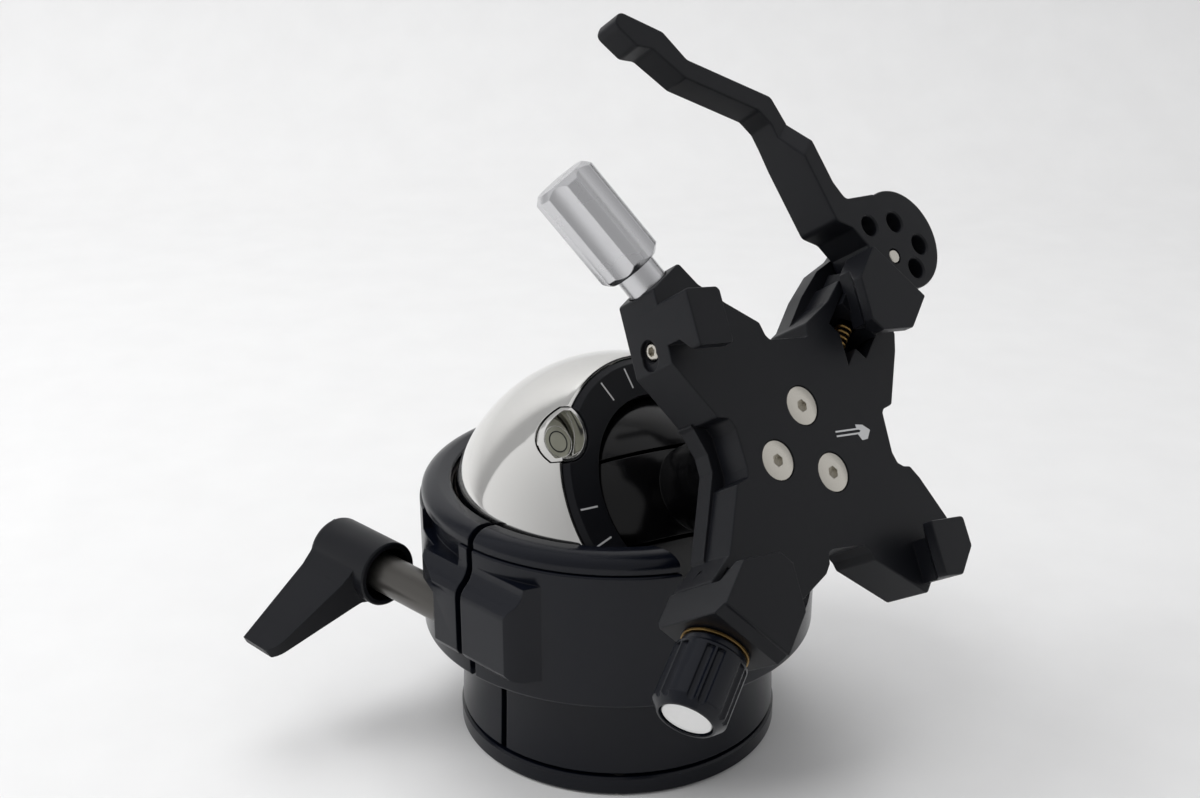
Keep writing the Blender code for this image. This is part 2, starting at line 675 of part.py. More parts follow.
def build_boss(frame):
    """The lug that the clamp screw runs through: rounded over its face, then hollow up into the drum."""
    centre = BOSS_FACE - BOSS_SHOULDER
    height = SHAFT_HEIGHT + BOSS_SHOULDER_LIFT
    turns = [BOSS_SHOULDER_TURN * i / BOSS_STEPS for i in range(BOSS_STEPS + 1)]
    shoulder = [
        (centre + BOSS_SHOULDER * math.cos(a), height + BOSS_SHOULDER * math.sin(a)) for a in turns
    ]
    start = shoulder[-1]
    blend = [
        (
            start[0] - BOSS_HOLLOW * (math.cos(a) - math.cos(BOSS_SHOULDER_TURN)),
            start[1] + BOSS_HOLLOW * (math.sin(BOSS_SHOULDER_TURN) - math.sin(a)),
        )
        for a in turns[-2::-1]
    ]
    under = [(BOSS_FACE + x, BOSS_BOTTOM + z) for x, z in scaled(BOSS_UNDER_SHARES, BOSS_UNDER)]
    side = [(BOSS_INNER, BOSS_BOTTOM)] + under + shoulder + blend + [(BOSS_INNER, blend[-1][1])]
    across = add_frame("boss_side_place", Matrix.Rotation(math.pi / 2, 4, "X"), frame)
    boss = slab("boss", side, -BOSS_END - OVERRUN, BOSS_REACH + OVERRUN, across)
    plan = [
        (BOSS_INNER, -BOSS_REACH), (BOSS_REACH_FACE, -BOSS_REACH), (BOSS_OUTER, -BOSS_LEFT),
        (BOSS_OUTER, BOSS_RIGHT), (DRUM_RADIUS - BOSS_RISE, BOSS_END), (BOSS_INNER, BOSS_END),
    ]
    plan = rounded(plan, BOSS_CORNER, only=(3,))
    keep_inside(boss, slab("boss_plan", plan, NOTCH_INNER, DRUM_TOP, frame))
    cut(boss, block(
        "boss_relief", (BOSS_INNER - OVERRUN, -BOSS_REACH - OVERRUN, BOSS_BOTTOM - OVERRUN),
        (BOSS_OUTER + OVERRUN, -BOSS_STEP, SHAFT_HEIGHT + BOSS_OVERHANG), frame,
    ))
    add_bevel(boss, BOSS_EDGE, 1)
    return boss


def build_housing(root, slit, notch, shaft):
    housing = turned("housing", housing_profile(), root, "black_anodised", LARGE_STEPS, ring=True)
    join(housing, build_boss(slit))
    inner = DRUM_RADIUS - SLOT_DEPTH
    outer = DRUM_RADIUS + OVERRUN
    steps = range(9)
    turns = [-SLOT_START - (SLOT_END - SLOT_START) * i / 8 for i in steps]
    sector = [(inner * math.cos(a), inner * math.sin(a)) for a in turns]
    sector += [(outer * math.cos(a), outer * math.sin(a)) for a in reversed(turns)]
    cut(housing, slab("band_slot", sector, SLOT_BOTTOM, DRUM_TOP + GAP / 2, slit))
    cut(housing, rod(
        "screw_bore", CLAMP_SCREW_RADIUS + PIN_GAP, -SCREW_END - GAP, BOSS_EXIT + OVERRUN, shaft,
    ))
    cut(housing, rod(
        "shaft_bore", SHAFT_RADIUS + PIN_GAP, BOSS_EXIT, HUB_START + OVERRUN, shaft, steps=MEDIUM_STEPS,
    ))
    cut(housing, slit_cutter("slit_in_housing", -OVERRUN, slit), notch_cutter("notch_in_housing", notch))
    for i, spot in enumerate(foot_spots()):
        cut(housing, rod(
            f"tapped_hole_{i}", FOOT_SCREW_SHANK + PIN_GAP, -FOOT_SCREW_LENGTH - GAP, -FOOT_THICKNESS, spot,
        ))
    profile = [
        (LIP_RADIUS, RING_CAP_TOP - GAP - GAP), (LIP_RADIUS + GAP, RING_CAP_TOP - GAP),
        (RING_CAP_RADIUS - RING_CAP_ROUND, RING_CAP_TOP),
        (RING_CAP_RADIUS - RING_CAP_ROUND * 0.35, RING_CAP_TOP - RING_CAP_ROUND * 0.25),
        (RING_CAP_RADIUS, RING_CAP_TOP - RING_CAP_ROUND), (RING_CAP_RADIUS, DRUM_TOP + GAP),
        (COUNTERBORE - GAP, DRUM_TOP + GAP), (COUNTERBORE - GAP, DRUM_TOP - SKIRT_DEPTH),
        (SKIRT_INNER, DRUM_TOP - SKIRT_DEPTH), (SKIRT_INNER, RING_CAP_TOP - RING_CAP_FACE),
        (LIP_RADIUS, RING_CAP_TOP - RING_CAP_FACE),
    ]
    cap = turned("top_ring", profile, root, "black_anodised", LARGE_STEPS, ring=True)
    cut(cap, slit_cutter("slit_in_ring", DRUM_TOP, slit), notch_cutter("notch_in_ring", notch))
    build_upper_seat(root, notch)


def build_upper_seat(root, notch):
    seat_radius = BALL_RADIUS + GAP
    low = SEAT_SHOULDER + GAP
    high = RING_CAP_TOP - RING_CAP_FACE - GAP
    centre = BALL_CENTRE_HEIGHT
    inside = sphere_arc(
        seat_radius, math.acos((low - centre) / seat_radius), math.acos((high - centre) / seat_radius), centre,
    )
    profile = [(SKIRT_INNER - GAP, high), (SKIRT_INNER - GAP, low)] + inside
    seat = turned("upper_seat", profile, root, "slide_plastic", LARGE_STEPS, ring=True)
    cut(seat, notch_cutter("notch_in_seat", notch))


def build_lower_seat(frame):
    """The seat under the ball, which turns with it. Its frame is at the ball's centre."""
    seat_radius = BALL_RADIUS + GAP
    outer = BORE_RADIUS - GAP
    bottom = SPIGOT_TOP + GAP - BALL_CENTRE_HEIGHT
    start = math.pi - math.asin(LOWER_SEAT_INNER / seat_radius)
    end = math.pi - math.asin((outer - GAP) / seat_radius)
    inside = sphere_arc(seat_radius, start, end)
    top = inside[-1][1]
    profile = [(outer, top), (outer, bottom), (LOWER_SEAT_INNER, bottom)] + inside
    turned("lower_seat", profile, frame, "slide_plastic", LARGE_STEPS, ring=True)


# Main lever

def build_main_lever(frame):
    hole = LEVER_SCREW_SHANK + PIN_GAP
    shaft_profile = [
        (hole, SHAFT_END), (SHAFT_RADIUS - GAP, SHAFT_END), (SHAFT_RADIUS, SHAFT_END - GAP),
        (SHAFT_RADIUS, BOSS_EXIT + GAP), (CLAMP_SCREW_RADIUS, BOSS_EXIT + GAP),
        (CLAMP_SCREW_RADIUS, -SCREW_END + GAP), (CLAMP_SCREW_RADIUS - GAP, -SCREW_END), (0.0, -SCREW_END),
    ]
    bore_end = SHAFT_END - LEVER_SCREW_REACH - GAP
    shaft_profile = [(0.0, bore_end), (hole, bore_end)] + shaft_profile
    turned("lever_shaft", shaft_profile, frame, "dark_steel", MEDIUM_STEPS)
    web = SHAFT_END + GAP
    seat = web + HUB_WEB
    hub_profile = [
        (0.0, HUB_END), (HUB_RADIUS - HUB_ROUND, HUB_END),
        (HUB_RADIUS - HUB_ROUND * 0.3, HUB_END - HUB_ROUND * 0.3), (HUB_RADIUS, HUB_END - HUB_ROUND),
        (HUB_RADIUS, HUB_START), (0.0, HUB_START),
    ]
    handle = turned("lever_handle", hub_profile, frame, "black_anodised", MEDIUM_STEPS)
    join(handle, build_blade(frame))
    cut(
        handle,
        rod("hub_bore", HUB_BORE, HUB_START - OVERRUN, web, frame, steps=MEDIUM_STEPS),
        rod("hub_hole", hole, web - OVERRUN, seat + OVERRUN, frame),
        rod("hub_counterbore", LEVER_SCREW_HEAD + GAP, seat, HUB_END + OVERRUN, frame, steps=MEDIUM_STEPS),
    )
    head = seat + PIN_GAP
    top = head + LEVER_SCREW_HEAD_HEIGHT
    profile = [
        (0.0, top), (LEVER_SCREW_HEAD - GAP, top), (LEVER_SCREW_HEAD, top - GAP),
        (LEVER_SCREW_HEAD, head), (LEVER_SCREW_SHANK, head),
        (LEVER_SCREW_SHANK, SHAFT_END - LEVER_SCREW_REACH), (0.0, SHAFT_END - LEVER_SCREW_REACH),
    ]
    screw = turned("lever_screw", profile, frame, "stainless", SMALL_STEPS)
    cut(screw, slab("lever_socket", circle(LEVER_SOCKET, 0.0, 0.0, 6), top - SOCKET_DEPTH, top + OVERRUN, frame))


def build_blade(frame):
    """The lever's blade: a side outline and a plan outline that share their common volume."""
    side = rounded(scaled(BLADE_SIDE_SHARES, HUB_RADIUS), BLADE_NECK_ROUND, only=(2, 3, 4))
    blade = slab("blade", side, HUB_START, HUB_END, frame)
    plan = [(x, HUB_END + y) for x, y in scaled(BLADE_PLAN_SHARES, HUB_RADIUS)]
    plan = rounded(plan, BLADE_TIP_ROUND, only=(3,))
    turn = add_frame("blade_plan_place", Matrix.Rotation(math.pi / 2, 4, "X"), frame)
    flat = slab("blade_plan", plan, -BALL_RADIUS, BALL_RADIUS, turn)
    keep_inside(blade, flat)
    return blade


# Outer ball, index ring and level

def build_ball(frame):
    bore = INNER_RADIUS + GAP
    seat = RING_OUTER + GAP
    inside = sphere_arc(bore, math.pi, math.pi / 2)
    wall = [(bore, RING_BOTTOM - GAP), (seat, RING_BOTTOM - GAP), (seat, RIM_HEIGHT)]
    outside = sphere_arc(BALL_RADIUS, math.acos(RIM_HEIGHT / BALL_RADIUS), math.pi)
    ball = turned("outer_ball", inside + wall + outside, frame, "polished_ball", LARGE_STEPS)
    profile = [
        (RING_INNER, RING_TOP), (RING_OUTER - RING_CHAMFER, RING_TOP),
        (RING_OUTER, RING_TOP - RING_CHAMFER_DROP), (RING_OUTER, RING_BOTTOM),
    ]
    low = math.acos(RING_BOTTOM / bore)
    high = math.asin(RING_INNER / bore)
    profile += sphere_arc(bore, low, high)
    ring = turned("index_ring", profile, frame, "black_anodised", LARGE_STEPS, ring=True)
    level = add_frame("level_place", Matrix.Translation((LEVEL_PLACE, 0.0, 0.0)), frame)
    for piece in (ball, ring):
        cut(piece, rod(
            "level_pocket_in_" + piece.name, LEVEL_POCKET, LEVEL_FLOOR, BALL_RADIUS, level, steps=MEDIUM_STEPS,
        ))
    build_level(frame, level)


def build_level(frame, level):
    outer = LEVEL_POCKET - GAP
    inner = outer - CUP_WALL
    floor = LEVEL_FLOOR + GAP
    profile = [
        (inner, CUP_TOP), (outer, CUP_TOP), (outer, floor), (0.0, floor),
    ]
    profile = [(0.0, floor + CUP_FLOOR), (inner, floor + CUP_FLOOR)] + profile
    cup = turned("level_cup", profile, level, "polished_ball", MEDIUM_STEPS)
    trim = sphere_arc(BALL_RADIUS - CUP_TRIM, 0.0, math.pi)
    keep_inside(cup, turned("cup_trim", trim, frame, None, LARGE_STEPS))
    low = floor + CUP_FLOOR + VIAL_SEAT
    vial = rod(
        "level_vial", VIAL_RADIUS, low, low + VIAL_THICKNESS, level, "vial_acrylic", MEDIUM_STEPS,
        x=VIAL_PLACE - LEVEL_PLACE,
    )
    keep_inside(vial, turned("vial_trim", trim, frame, None, LARGE_STEPS))


# Inner ball: two cheeks that pan, and the slice between them that tilts on the axle

def build_cheek(name, axle, side):
    """One cap of the inner ball, bored for the axle. Its frame's Z runs along the axle."""
    flat = SLICE_HALF + SLICE_GAP
    hole = AXLE_RADIUS + PIN_GAP
    end = AXLE_HALF + GAP
    outside = sphere_arc(INNER_RADIUS, 0.0, math.acos(flat / INNER_RADIUS))
    turn = add_frame(name + "_place", Matrix.Rotation(side, 4, "X"), axle)
    turned(name, outside + [(hole, flat), (hole, end), (0.0, end)], turn, "black_anodised", LARGE_STEPS)


def build_axle(axle):
    profile = [
        (0.0, AXLE_HALF), (AXLE_RADIUS - AXLE_EDGE, AXLE_HALF), (AXLE_RADIUS, AXLE_HALF - AXLE_EDGE),
        (AXLE_RADIUS, -AXLE_HALF + AXLE_EDGE), (AXLE_RADIUS - AXLE_EDGE, -AXLE_HALF), (0.0, -AXLE_HALF),
    ]
    turned("tilt_axle", profile, axle, "stainless", MEDIUM_STEPS)


def build_tilt_ball(clamp, axle, screws):
    """The slice of the inner ball with its neck, bored for a bush and tapped for the deck's screws."""
    edge = math.acos(SLICE_HALF / INNER_RADIUS)
    hole = BUSH_RADIUS + PIN_GAP
    profile = [(hole, SLICE_HALF)] + sphere_arc(INNER_RADIUS, edge, math.pi - edge) + [(hole, -SLICE_HALF)]
    ball = turned("tilt_ball", profile, axle, "black_anodised", LARGE_STEPS, ring=True)
    top = DECK_HEIGHT - DECK_THICKNESS - GAP
    spread = FLANGE_RADIUS - NECK_RADIUS
    rise = top - INNER_RADIUS
    flare = [(NECK_RADIUS + spread * out, top - rise * down) for down, out in NECK_FLARE_SHARES]
    flare[0] = (FLANGE_RADIUS - FLANGE_EDGE, top)
    flare.insert(1, (FLANGE_RADIUS, top - FLANGE_EDGE))
    neck = [(0.0, top)] + flare + [(NECK_RADIUS, NECK_BOTTOM), (0.0, NECK_BOTTOM)]
    join(ball, turned("neck", neck, clamp, None, MEDIUM_STEPS))
    for i, spot in enumerate(screws):
        cut(ball, rod(f"neck_tap_{i}", SCREW_SHANK + GAP, -SCREW_LENGTH - GAP, 0.0, spot))
    bore = AXLE_RADIUS + PIN_GAP
    bush = [(bore, BUSH_HALF), (BUSH_RADIUS, BUSH_HALF), (BUSH_RADIUS, -BUSH_HALF), (bore, -BUSH_HALF)]
    turned("tilt_bush", bush, axle, "bronze", MEDIUM_STEPS, ring=True)


# Clamp

def dovetail_cutter(name, frame, turn):
    """The room that a dovetail plate takes between the lips, along one of the two ways it can lie."""
    half = LIP_HALF
    wide = LIP_HALF + UNDERCUT
    low = UNDERCUT_LOW
    high = UNDERCUT_LOW + UNDERCUT
    top = LIP_HEIGHT + OVERRUN
    outline = [(-wide, -OVERRUN), (wide, -OVERRUN), (wide, low), (half, high), (half, top), (-half, top), (-half, high), (-wide, low)]
    way = Matrix.Translation((0.0, 0.0, DECK_HEIGHT)) @ Matrix.Rotation(turn, 4, "Z")
    place_frame = add_frame(name + "_place", way @ Matrix.Rotation(math.pi / 2, 4, "X"), frame)
    return slab(name, outline, -PIN_PLACE - CAM_RADIUS, PIN_PLACE + CAM_RADIUS, place_frame)


def undercut(obj, clamp):
    for i, turn in enumerate((0.0, math.pi / 2)):
        cut(obj, dovetail_cutter(f"{obj.name}_dovetail_{i}", clamp, turn))


def tongue(name, start, end, gap, bottom, top, frame):
    """A dovetail tongue along the frame's X axis, or its channel where a gap is given."""
    low = DECK_HEIGHT - LOWER_DEPTH + SLIDE_GAP - gap
    outline = [
        (-TONGUE_BOTTOM_HALF - gap, low), (TONGUE_BOTTOM_HALF + gap, low),
        (TONGUE_TOP_HALF + gap, DECK_HEIGHT - bottom), (TONGUE_TOP_HALF + gap, DECK_HEIGHT + top),
        (-TONGUE_TOP_HALF - gap, DECK_HEIGHT + top), (-TONGUE_TOP_HALF - gap, DECK_HEIGHT - bottom),
    ]
    way = Matrix(((0, 0, 1, 0), (1, 0, 0, 0), (0, 1, 0, 0), (0, 0, 0, 1)))
    return slab(name, outline, start, end, add_frame(name + "_place", way, frame))


def jaw_outline(end):
    """Plan of a jaw's top: lips along both ways of the plate, their corner cut, straight sides."""
    corner = LIP_HALF * math.sqrt(2.0)
    half = JAW_CORNER_CUT
    return [
        (corner + half, -half), (corner + JAW_HALF, -JAW_HALF), (end, -JAW_HALF), (end, JAW_HALF),
        (corner + JAW_HALF, JAW_HALF), (corner + half, half),
    ]


def build_deck(clamp, arm_b, arm_c, silver, screws):
    top = DECK_HEIGHT
    bottom = DECK_HEIGHT - DECK_THICKNESS
    ledge = DECK_HEIGHT - LOWER_DEPTH
    deck = slab(
        "clamp_deck", rounded(scaled(DECK_SHARES, LIP_HALF), DECK_CORNER), bottom, top, clamp,
        "black_anodised", DECK_BEVEL,
    )
    strip = slab("strip", rounded(scaled(STRIP_SHARES, LIP_HALF), DECK_CORNER), bottom + DECK_BEVEL, ledge, clamp)
    join(deck, strip, build_ear(arm_c, bottom, ledge))
    for name, shares in (("hook_a", HOOK_A_SHARES), ("hook_d", HOOK_D_SHARES)):
        outline = rounded(scaled(shares, LIP_HALF), DECK_CORNER)
        hook = slab(name, outline, ledge, top + LIP_HEIGHT, clamp, None, DECK_BEVEL)
        undercut(hook, clamp)
        use_manifold(hook)
        join(deck, hook)
    start_b = TONGUE_START - SLIDE_GAP
    start_c = TONGUE_START - CAM_OFFSET - SLIDE_GAP
    bottom_step = LOWER_DEPTH / 3
    cut(
        deck,
        tongue("channel_b", start_b, JAW_B_END + OVERRUN, SLIDE_GAP, bottom_step, OVERRUN, arm_b),
        tongue("channel_c", start_c, PIN_PLACE, SLIDE_GAP, bottom_step, OVERRUN, arm_c),
    )
    cut(deck, rod("pin_hole", PIN_RADIUS + PIN_GAP, 0.0, DECK_HEIGHT + OVERRUN, arm_c, x=PIN_PLACE))
    cut_spring_pocket(deck, arm_c)
    cut_silver_bore(deck, clamp, silver)
    stud = along_x("stud_hole_place", DECK_HEIGHT - KNOB_DEPTH, arm_b)
    cut(deck, rod("stud_hole", STUD_RADIUS + STUD_GAP, STUD_START - GAP, TONGUE_START + OVERRUN, stud))
    for i, spot in enumerate(screws):
        cut(deck, countersink(
            f"deck_hole_{i}", SCREW_HEAD, SCREW_HEAD_DEPTH, SCREW_SHANK, DECK_THICKNESS + OVERRUN, PIN_GAP, spot,
        ))
    use_manifold(deck)


def build_ear(arm_c, bottom, ledge):
    """The lower plate that runs out under the cam to hold its pin."""
    side = [(x * LIP_HALF, y * LIP_HALF) for x, y in EAR_SHARES]
    steps = 8
    nose = []
    for i in range(steps + 1):
        angle = -math.pi * 0.38 + math.pi * 0.76 * i / steps
        nose.append((PIN_PLACE + EAR_ROUND * math.cos(angle), EAR_ROUND * math.sin(angle)))
    outline = [(x, -y) for x, y in side] + nose + side[::-1]
    ear = slab("ear", outline, bottom, ledge, arm_c)
    return ear


def along_x(name, height, frame):
    """A frame at a height whose Z axis runs along the parent's X."""
    way = Matrix(((0, 0, 1, 0), (1, 0, 0, 0), (0, 1, 0, height), (0, 0, 0, 1)))
    return add_frame(name, way, frame)


def cut_spring_pocket(deck, arm_c):
    line = along_x("spring_pocket_place", DECK_HEIGHT - SPRING_DEPTH, arm_c)
    end = TONGUE_START
    bore = rod("spring_bore", SPRING_POCKET_RADIUS, SPRING_POCKET_START, end, line)
    mouth = block(
        "spring_mouth", (SPRING_POCKET_START, -SPRING_POCKET_RADIUS, DECK_HEIGHT - SPRING_DEPTH),
        (end, SPRING_POCKET_RADIUS, DECK_HEIGHT + OVERRUN), arm_c,
    )
    cut(deck, bore, mouth)


def cut_silver_bore(deck, clamp, silver):
    """The stepped bore for the silver knob's stem and stud, and the set screw's hole that meets it."""
    cut(
        deck,
        rod("stem_bore", STEM_RADIUS + PIN_GAP, STEM_START - GAP, SILVER_FACE + OVERRUN, silver, steps=MEDIUM_STEPS),
        rod("stud_bore", SILVER_STUD_RADIUS + PIN_GAP, SILVER_STUD_START - GAP, STEM_START + GAP, silver),
    )
    line = setscrew_frame("setscrew_hole_place", clamp)
    end = SETSCREW_START + SETSCREW_LENGTH
    cut(
        deck,
        rod("setscrew_hole", SETSCREW_RADIUS + PIN_GAP, SETSCREW_START - AXLE_RADIUS, end + OVERRUN, line),
        rod("setscrew_recess", RECESS_RADIUS, end - GAP, end + OVERRUN, line),
        rod("setscrew_slot", RECESS_RADIUS, end, end + OVERRUN, line, x=-RECESS_SHIFT),
    )


def setscrew_frame(name, clamp):
    """Along -u at the set screw's height, with +X up the wall."""
    way = Matrix((
        (0, 0, -1, 0), (0, 1, 0, SETSCREW_ALONG), (1, 0, 0, DECK_HEIGHT - SETSCREW_DEPTH), (0, 0, 0, 1),
    ))
    return add_frame(name, way, clamp)


def build_setscrew(clamp):
    line = setscrew_frame("setscrew_place", clamp)
    end = SETSCREW_START + SETSCREW_LENGTH
    profile = [
        (0.0, end), (SETSCREW_RADIUS - GAP, end), (SETSCREW_RADIUS, end - GAP),
        (SETSCREW_RADIUS, SETSCREW_START + GAP), (SETSCREW_RADIUS - GAP, SETSCREW_START), (0.0, SETSCREW_START),
    ]
    screw = turned("set_screw", profile, line, "stainless", SMALL_STEPS)
    cut(screw, slab("setscrew_socket", circle(SETSCREW_SOCKET, 0.0, 0.0, 6), end - SOCKET_DEPTH, end + OVERRUN, line))


def build_plate_screws(screws):
    for i, spot in enumerate(screws):
        socket_screw(
            f"plate_screw_{i + 1}", SCREW_HEAD, SCREW_HEAD_DEPTH, SCREW_SHANK, SCREW_LENGTH, SOCKET_RADIUS,
            SOCKET_DEPTH, spot,
        )


def build_spring(arm_c):
    """The jaw's return spring: one wire, its curls from a formula, between the pocket's end and the tongue."""
    line = along_x("spring_place", DECK_HEIGHT - SPRING_DEPTH, arm_c)
    start = SPRING_POCKET_START + GAP + SPRING_WIRE
    end = TONGUE_START - GAP - SPRING_WIRE
    count = int(SPRING_TURNS * SPRING_POINTS) + 1
    points = []
    for i in range(count):
        angle = math.tau * i / SPRING_POINTS
        height = start + (end - start) * i / (count - 1)
        points.append((SPRING_RADIUS * math.cos(angle), SPRING_RADIUS * math.sin(angle), height))
    curve = bpy.data.curves.new("jaw_spring", "CURVE")
    curve.dimensions = "3D"
    curve.bevel_depth = SPRING_WIRE
    curve.bevel_resolution = 1
    curve.use_fill_caps = True
    spline = curve.splines.new("POLY")
    spline.points.add(count - 1)
    for point, place_at in zip(spline.points, points):
        point.co = (*place_at, 1.0)
    pitch = (end - start) / SPRING_TURNS
    print("jaw_spring least gap, mm:", round((pitch - SPRING_WIRE * 2) / MM, 2))
    return place(bpy.data.objects.new("jaw_spring", curve), line, "bronze")


def build_jaw_b(arm_b, clamp):
    high = DECK_HEIGHT + LIP_HEIGHT
    jaw = slab(
        "jaw_b", rounded(jaw_outline(JAW_B_END - JAW_B_EDGE), DECK_CORNER, only=(1, 4)), DECK_HEIGHT + SLIDE_GAP,
        high, arm_b, "black_anodised", DECK_BEVEL,
    )
    undercut(jaw, clamp)
    bottom = DECK_HEIGHT - DECK_THICKNESS
    side = [
        (JAW_BLOCK_START, bottom + DECK_BEVEL), (JAW_B_END - JAW_B_EDGE, bottom + DECK_BEVEL),
        (JAW_B_END, bottom + JAW_B_EDGE), (JAW_B_END, high - JAW_B_EDGE * 1.6),
        (JAW_B_END - JAW_B_EDGE - DECK_BEVEL, high - DECK_BEVEL), (JAW_BLOCK_START, high - DECK_BEVEL),
    ]
    upright = add_frame("jaw_b_side_place", Matrix.Rotation(math.pi / 2, 4, "X"), arm_b)
    body = slab("jaw_b_block", side, -JAW_HALF + GAP / 10, JAW_HALF - GAP / 10, upright)
    bottom_step = LOWER_DEPTH / 3
    inner = tongue("jaw_b_tongue", TONGUE_START, JAW_BLOCK_START + GAP * 2, 0.0, bottom_step, GAP * 3, arm_b)
    join(jaw, body, inner)
    line = along_x("jaw_b_hole_place", DECK_HEIGHT - KNOB_DEPTH, arm_b)
    cut(jaw, rod("jaw_b_hole", STUD_RADIUS + STUD_GAP, TONGUE_START - OVERRUN, JAW_B_END + OVERRUN, line))


def build_jaw_c(arm_c, clamp):
    high = DECK_HEIGHT + LIP_HEIGHT
    jaw = slab(
        "jaw_c", rounded(jaw_outline(JAW_C_END), DECK_CORNER, only=(1, 4)), DECK_HEIGHT + SLIDE_GAP,
        high, arm_c, "black_anodised", DECK_BEVEL,
    )
    undercut(jaw, clamp)
    bottom_step = LOWER_DEPTH / 3
    join(jaw, tongue("jaw_c_tongue", TONGUE_START, JAW_C_END - GAP / 10, 0.0, bottom_step, GAP * 3, arm_c))
    line = along_x("jaw_c_bore_place", DECK_HEIGHT - SPRING_DEPTH, arm_c)
    end = TONGUE_START + CAM_OFFSET + GAP
    cut(jaw, rod("jaw_c_bore", SPRING_POCKET_RADIUS, TONGUE_START - OVERRUN, end, line))


def build_cam_lever(cam):
    """Bottom and top in the cam frame, whose origin is on the deck's plane at the pin."""
    low = -LOWER_DEPTH + SLIDE_GAP
    top = CAM_TOP
    diagonal = math.radians(45.0)
    x = CAM_OFFSET * math.cos(diagonal)
    y = CAM_OFFSET * math.sin(diagonal)
    outer = scaled(HANDLE_OUTER_SHARES, CAM_RADIUS)
    inner = scaled(HANDLE_INNER_SHARES, CAM_RADIUS)
    count = len(outer) + len(inner)
    outline = rounded(outer + inner, HANDLE_CORNER, only=range(1, count - 1))
    skin = GAP / 4
    lever = slab("cam_lever", outline, low + skin, top - skin, cam, "black_anodised", DECK_BEVEL)
    cut(lever, ramp_cutter(outer[4], inner[-5], cam))
    edge = DECK_BEVEL
    profile = [
        (0.0, top), (CAM_RADIUS - edge, top), (CAM_RADIUS, top - edge), (CAM_RADIUS, low + edge),
        (CAM_RADIUS - edge, low), (0.0, low),
    ]
    middle = add_frame("cam_disc_place", Matrix.Translation((x, y, 0.0)), cam)
    join(lever, turned("cam_disc", profile, middle, None, LARGE_STEPS))
    cut(lever, rod("cam_pin_hole", PIN_RADIUS + PIN_GAP, low - OVERRUN, top + OVERRUN, cam))
    for i, (reach, angle) in enumerate(CAM_HOLES):
        cut(lever, rod(
            f"cam_hole_{i}", CAM_HOLE_RADIUS, low - OVERRUN, top + OVERRUN, cam,
            x=reach * math.cos(angle), y=reach * math.sin(angle),
        ))


def ramp_cutter(outer, inner, cam):
    """Cuts the handle down to the deck's level, and leaves a slope up to the cam's top."""
    across = Vector(outer) - Vector(inner)
    way = Vector((across.y, -across.x))
    middle = (Vector(outer) + Vector(inner)) / 2
    matrix = Matrix.Translation((middle.x, middle.y, 0.0))
    matrix = matrix @ Matrix.Rotation(math.atan2(way.y, way.x), 4, "Z") @ Matrix.Rotation(math.pi / 2, 4, "X")
    frame = add_frame("ramp_place", matrix, cam)
    far = -CAM_RADIUS * 4
    high = CAM_TOP + OVERRUN
    outline = [(far, 0.0), (0.0, 0.0), (RAMP_LENGTH, CAM_TOP), (RAMP_LENGTH, high), (far, high)]
    return slab("ramp", outline, -CAM_RADIUS * 3, CAM_RADIUS * 3, frame)


def build_pin(cam):
    low = -DECK_THICKNESS + GAP
    profile = [
        (0.0, CAM_TOP), (PIN_RADIUS - GAP / 2, CAM_TOP), (PIN_RADIUS, CAM_TOP - GAP / 2),
        (PIN_RADIUS, low), (0.0, low),
    ]
    turned("cam_pin", profile, cam, "stainless", SMALL_STEPS)


# Knobs

def build_black_knob(line):
    """Turned, with pairs of narrow grooves milled along it. The frame's Z runs out along the knob."""
    start = JAW_B_END + GAP + WASHER_THICKNESS + GAP
    end = start + KNOB_LENGTH
    profile = [
        (0.0, end), (KNOB_RADIUS - KNOB_CHAMFER, end), (KNOB_RADIUS, end - KNOB_CHAMFER),
        (KNOB_RADIUS, start + KNOB_COLLAR), (KNOB_COLLAR_RADIUS, start + KNOB_COLLAR * 0.7),
        (KNOB_COLLAR_RADIUS, start), (0.0, start),
    ]
    knob = turned("black_knob", profile, line, "black_anodised", LARGE_STEPS)
    for i in range(KNOB_LOBES):
        middle = math.tau * i / KNOB_LOBES
        for side in (-1, 1):
            angle = middle + side * KNOB_GROOVE_SPREAD
            cut(knob, rod(
                f"knob_groove_{i}_{side + 1}", KNOB_GROOVE, start + KNOB_GROOVE_START, end + OVERRUN, line, steps=8,
                x=(KNOB_RADIUS + KNOB_GROOVE * 0.25) * math.cos(angle),
                y=(KNOB_RADIUS + KNOB_GROOVE * 0.25) * math.sin(angle),
            ))
    recess = CAP_RECESS + CAP_THICKNESS + GAP
    stud_end = JAW_B_END + STUD_BEYOND
    cut(
        knob,
        rod("cap_recess", CAP_RADIUS + GAP, end - recess, end + OVERRUN, line, steps=MEDIUM_STEPS),
        rod("knob_bore", STUD_RADIUS + STUD_GAP, start - OVERRUN, stud_end + GAP, line),
    )
    low = end - recess + GAP
    cap = [
        (0.0, low + CAP_THICKNESS), (CAP_RADIUS - GAP / 2, low + CAP_THICKNESS),
        (CAP_RADIUS, low + CAP_THICKNESS - GAP / 2), (CAP_RADIUS, low), (0.0, low),
    ]
    turned("knob_cap", cap, line, "white_disc", MEDIUM_STEPS)
    inner = STUD_RADIUS + STUD_GAP
    low = JAW_B_END + GAP
    washer = [
        (inner, low + WASHER_THICKNESS), (WASHER_RADIUS, low + WASHER_THICKNESS), (WASHER_RADIUS, low), (inner, low),
    ]
    turned("knob_washer", washer, line, "bronze", MEDIUM_STEPS, ring=True)
    stud = [
        (0.0, stud_end), (STUD_RADIUS - GAP, stud_end), (STUD_RADIUS, stud_end - GAP),
        (STUD_RADIUS, STUD_START), (0.0, STUD_START),
    ]
    turned("knob_stud", stud, line, "stainless", SMALL_STEPS)


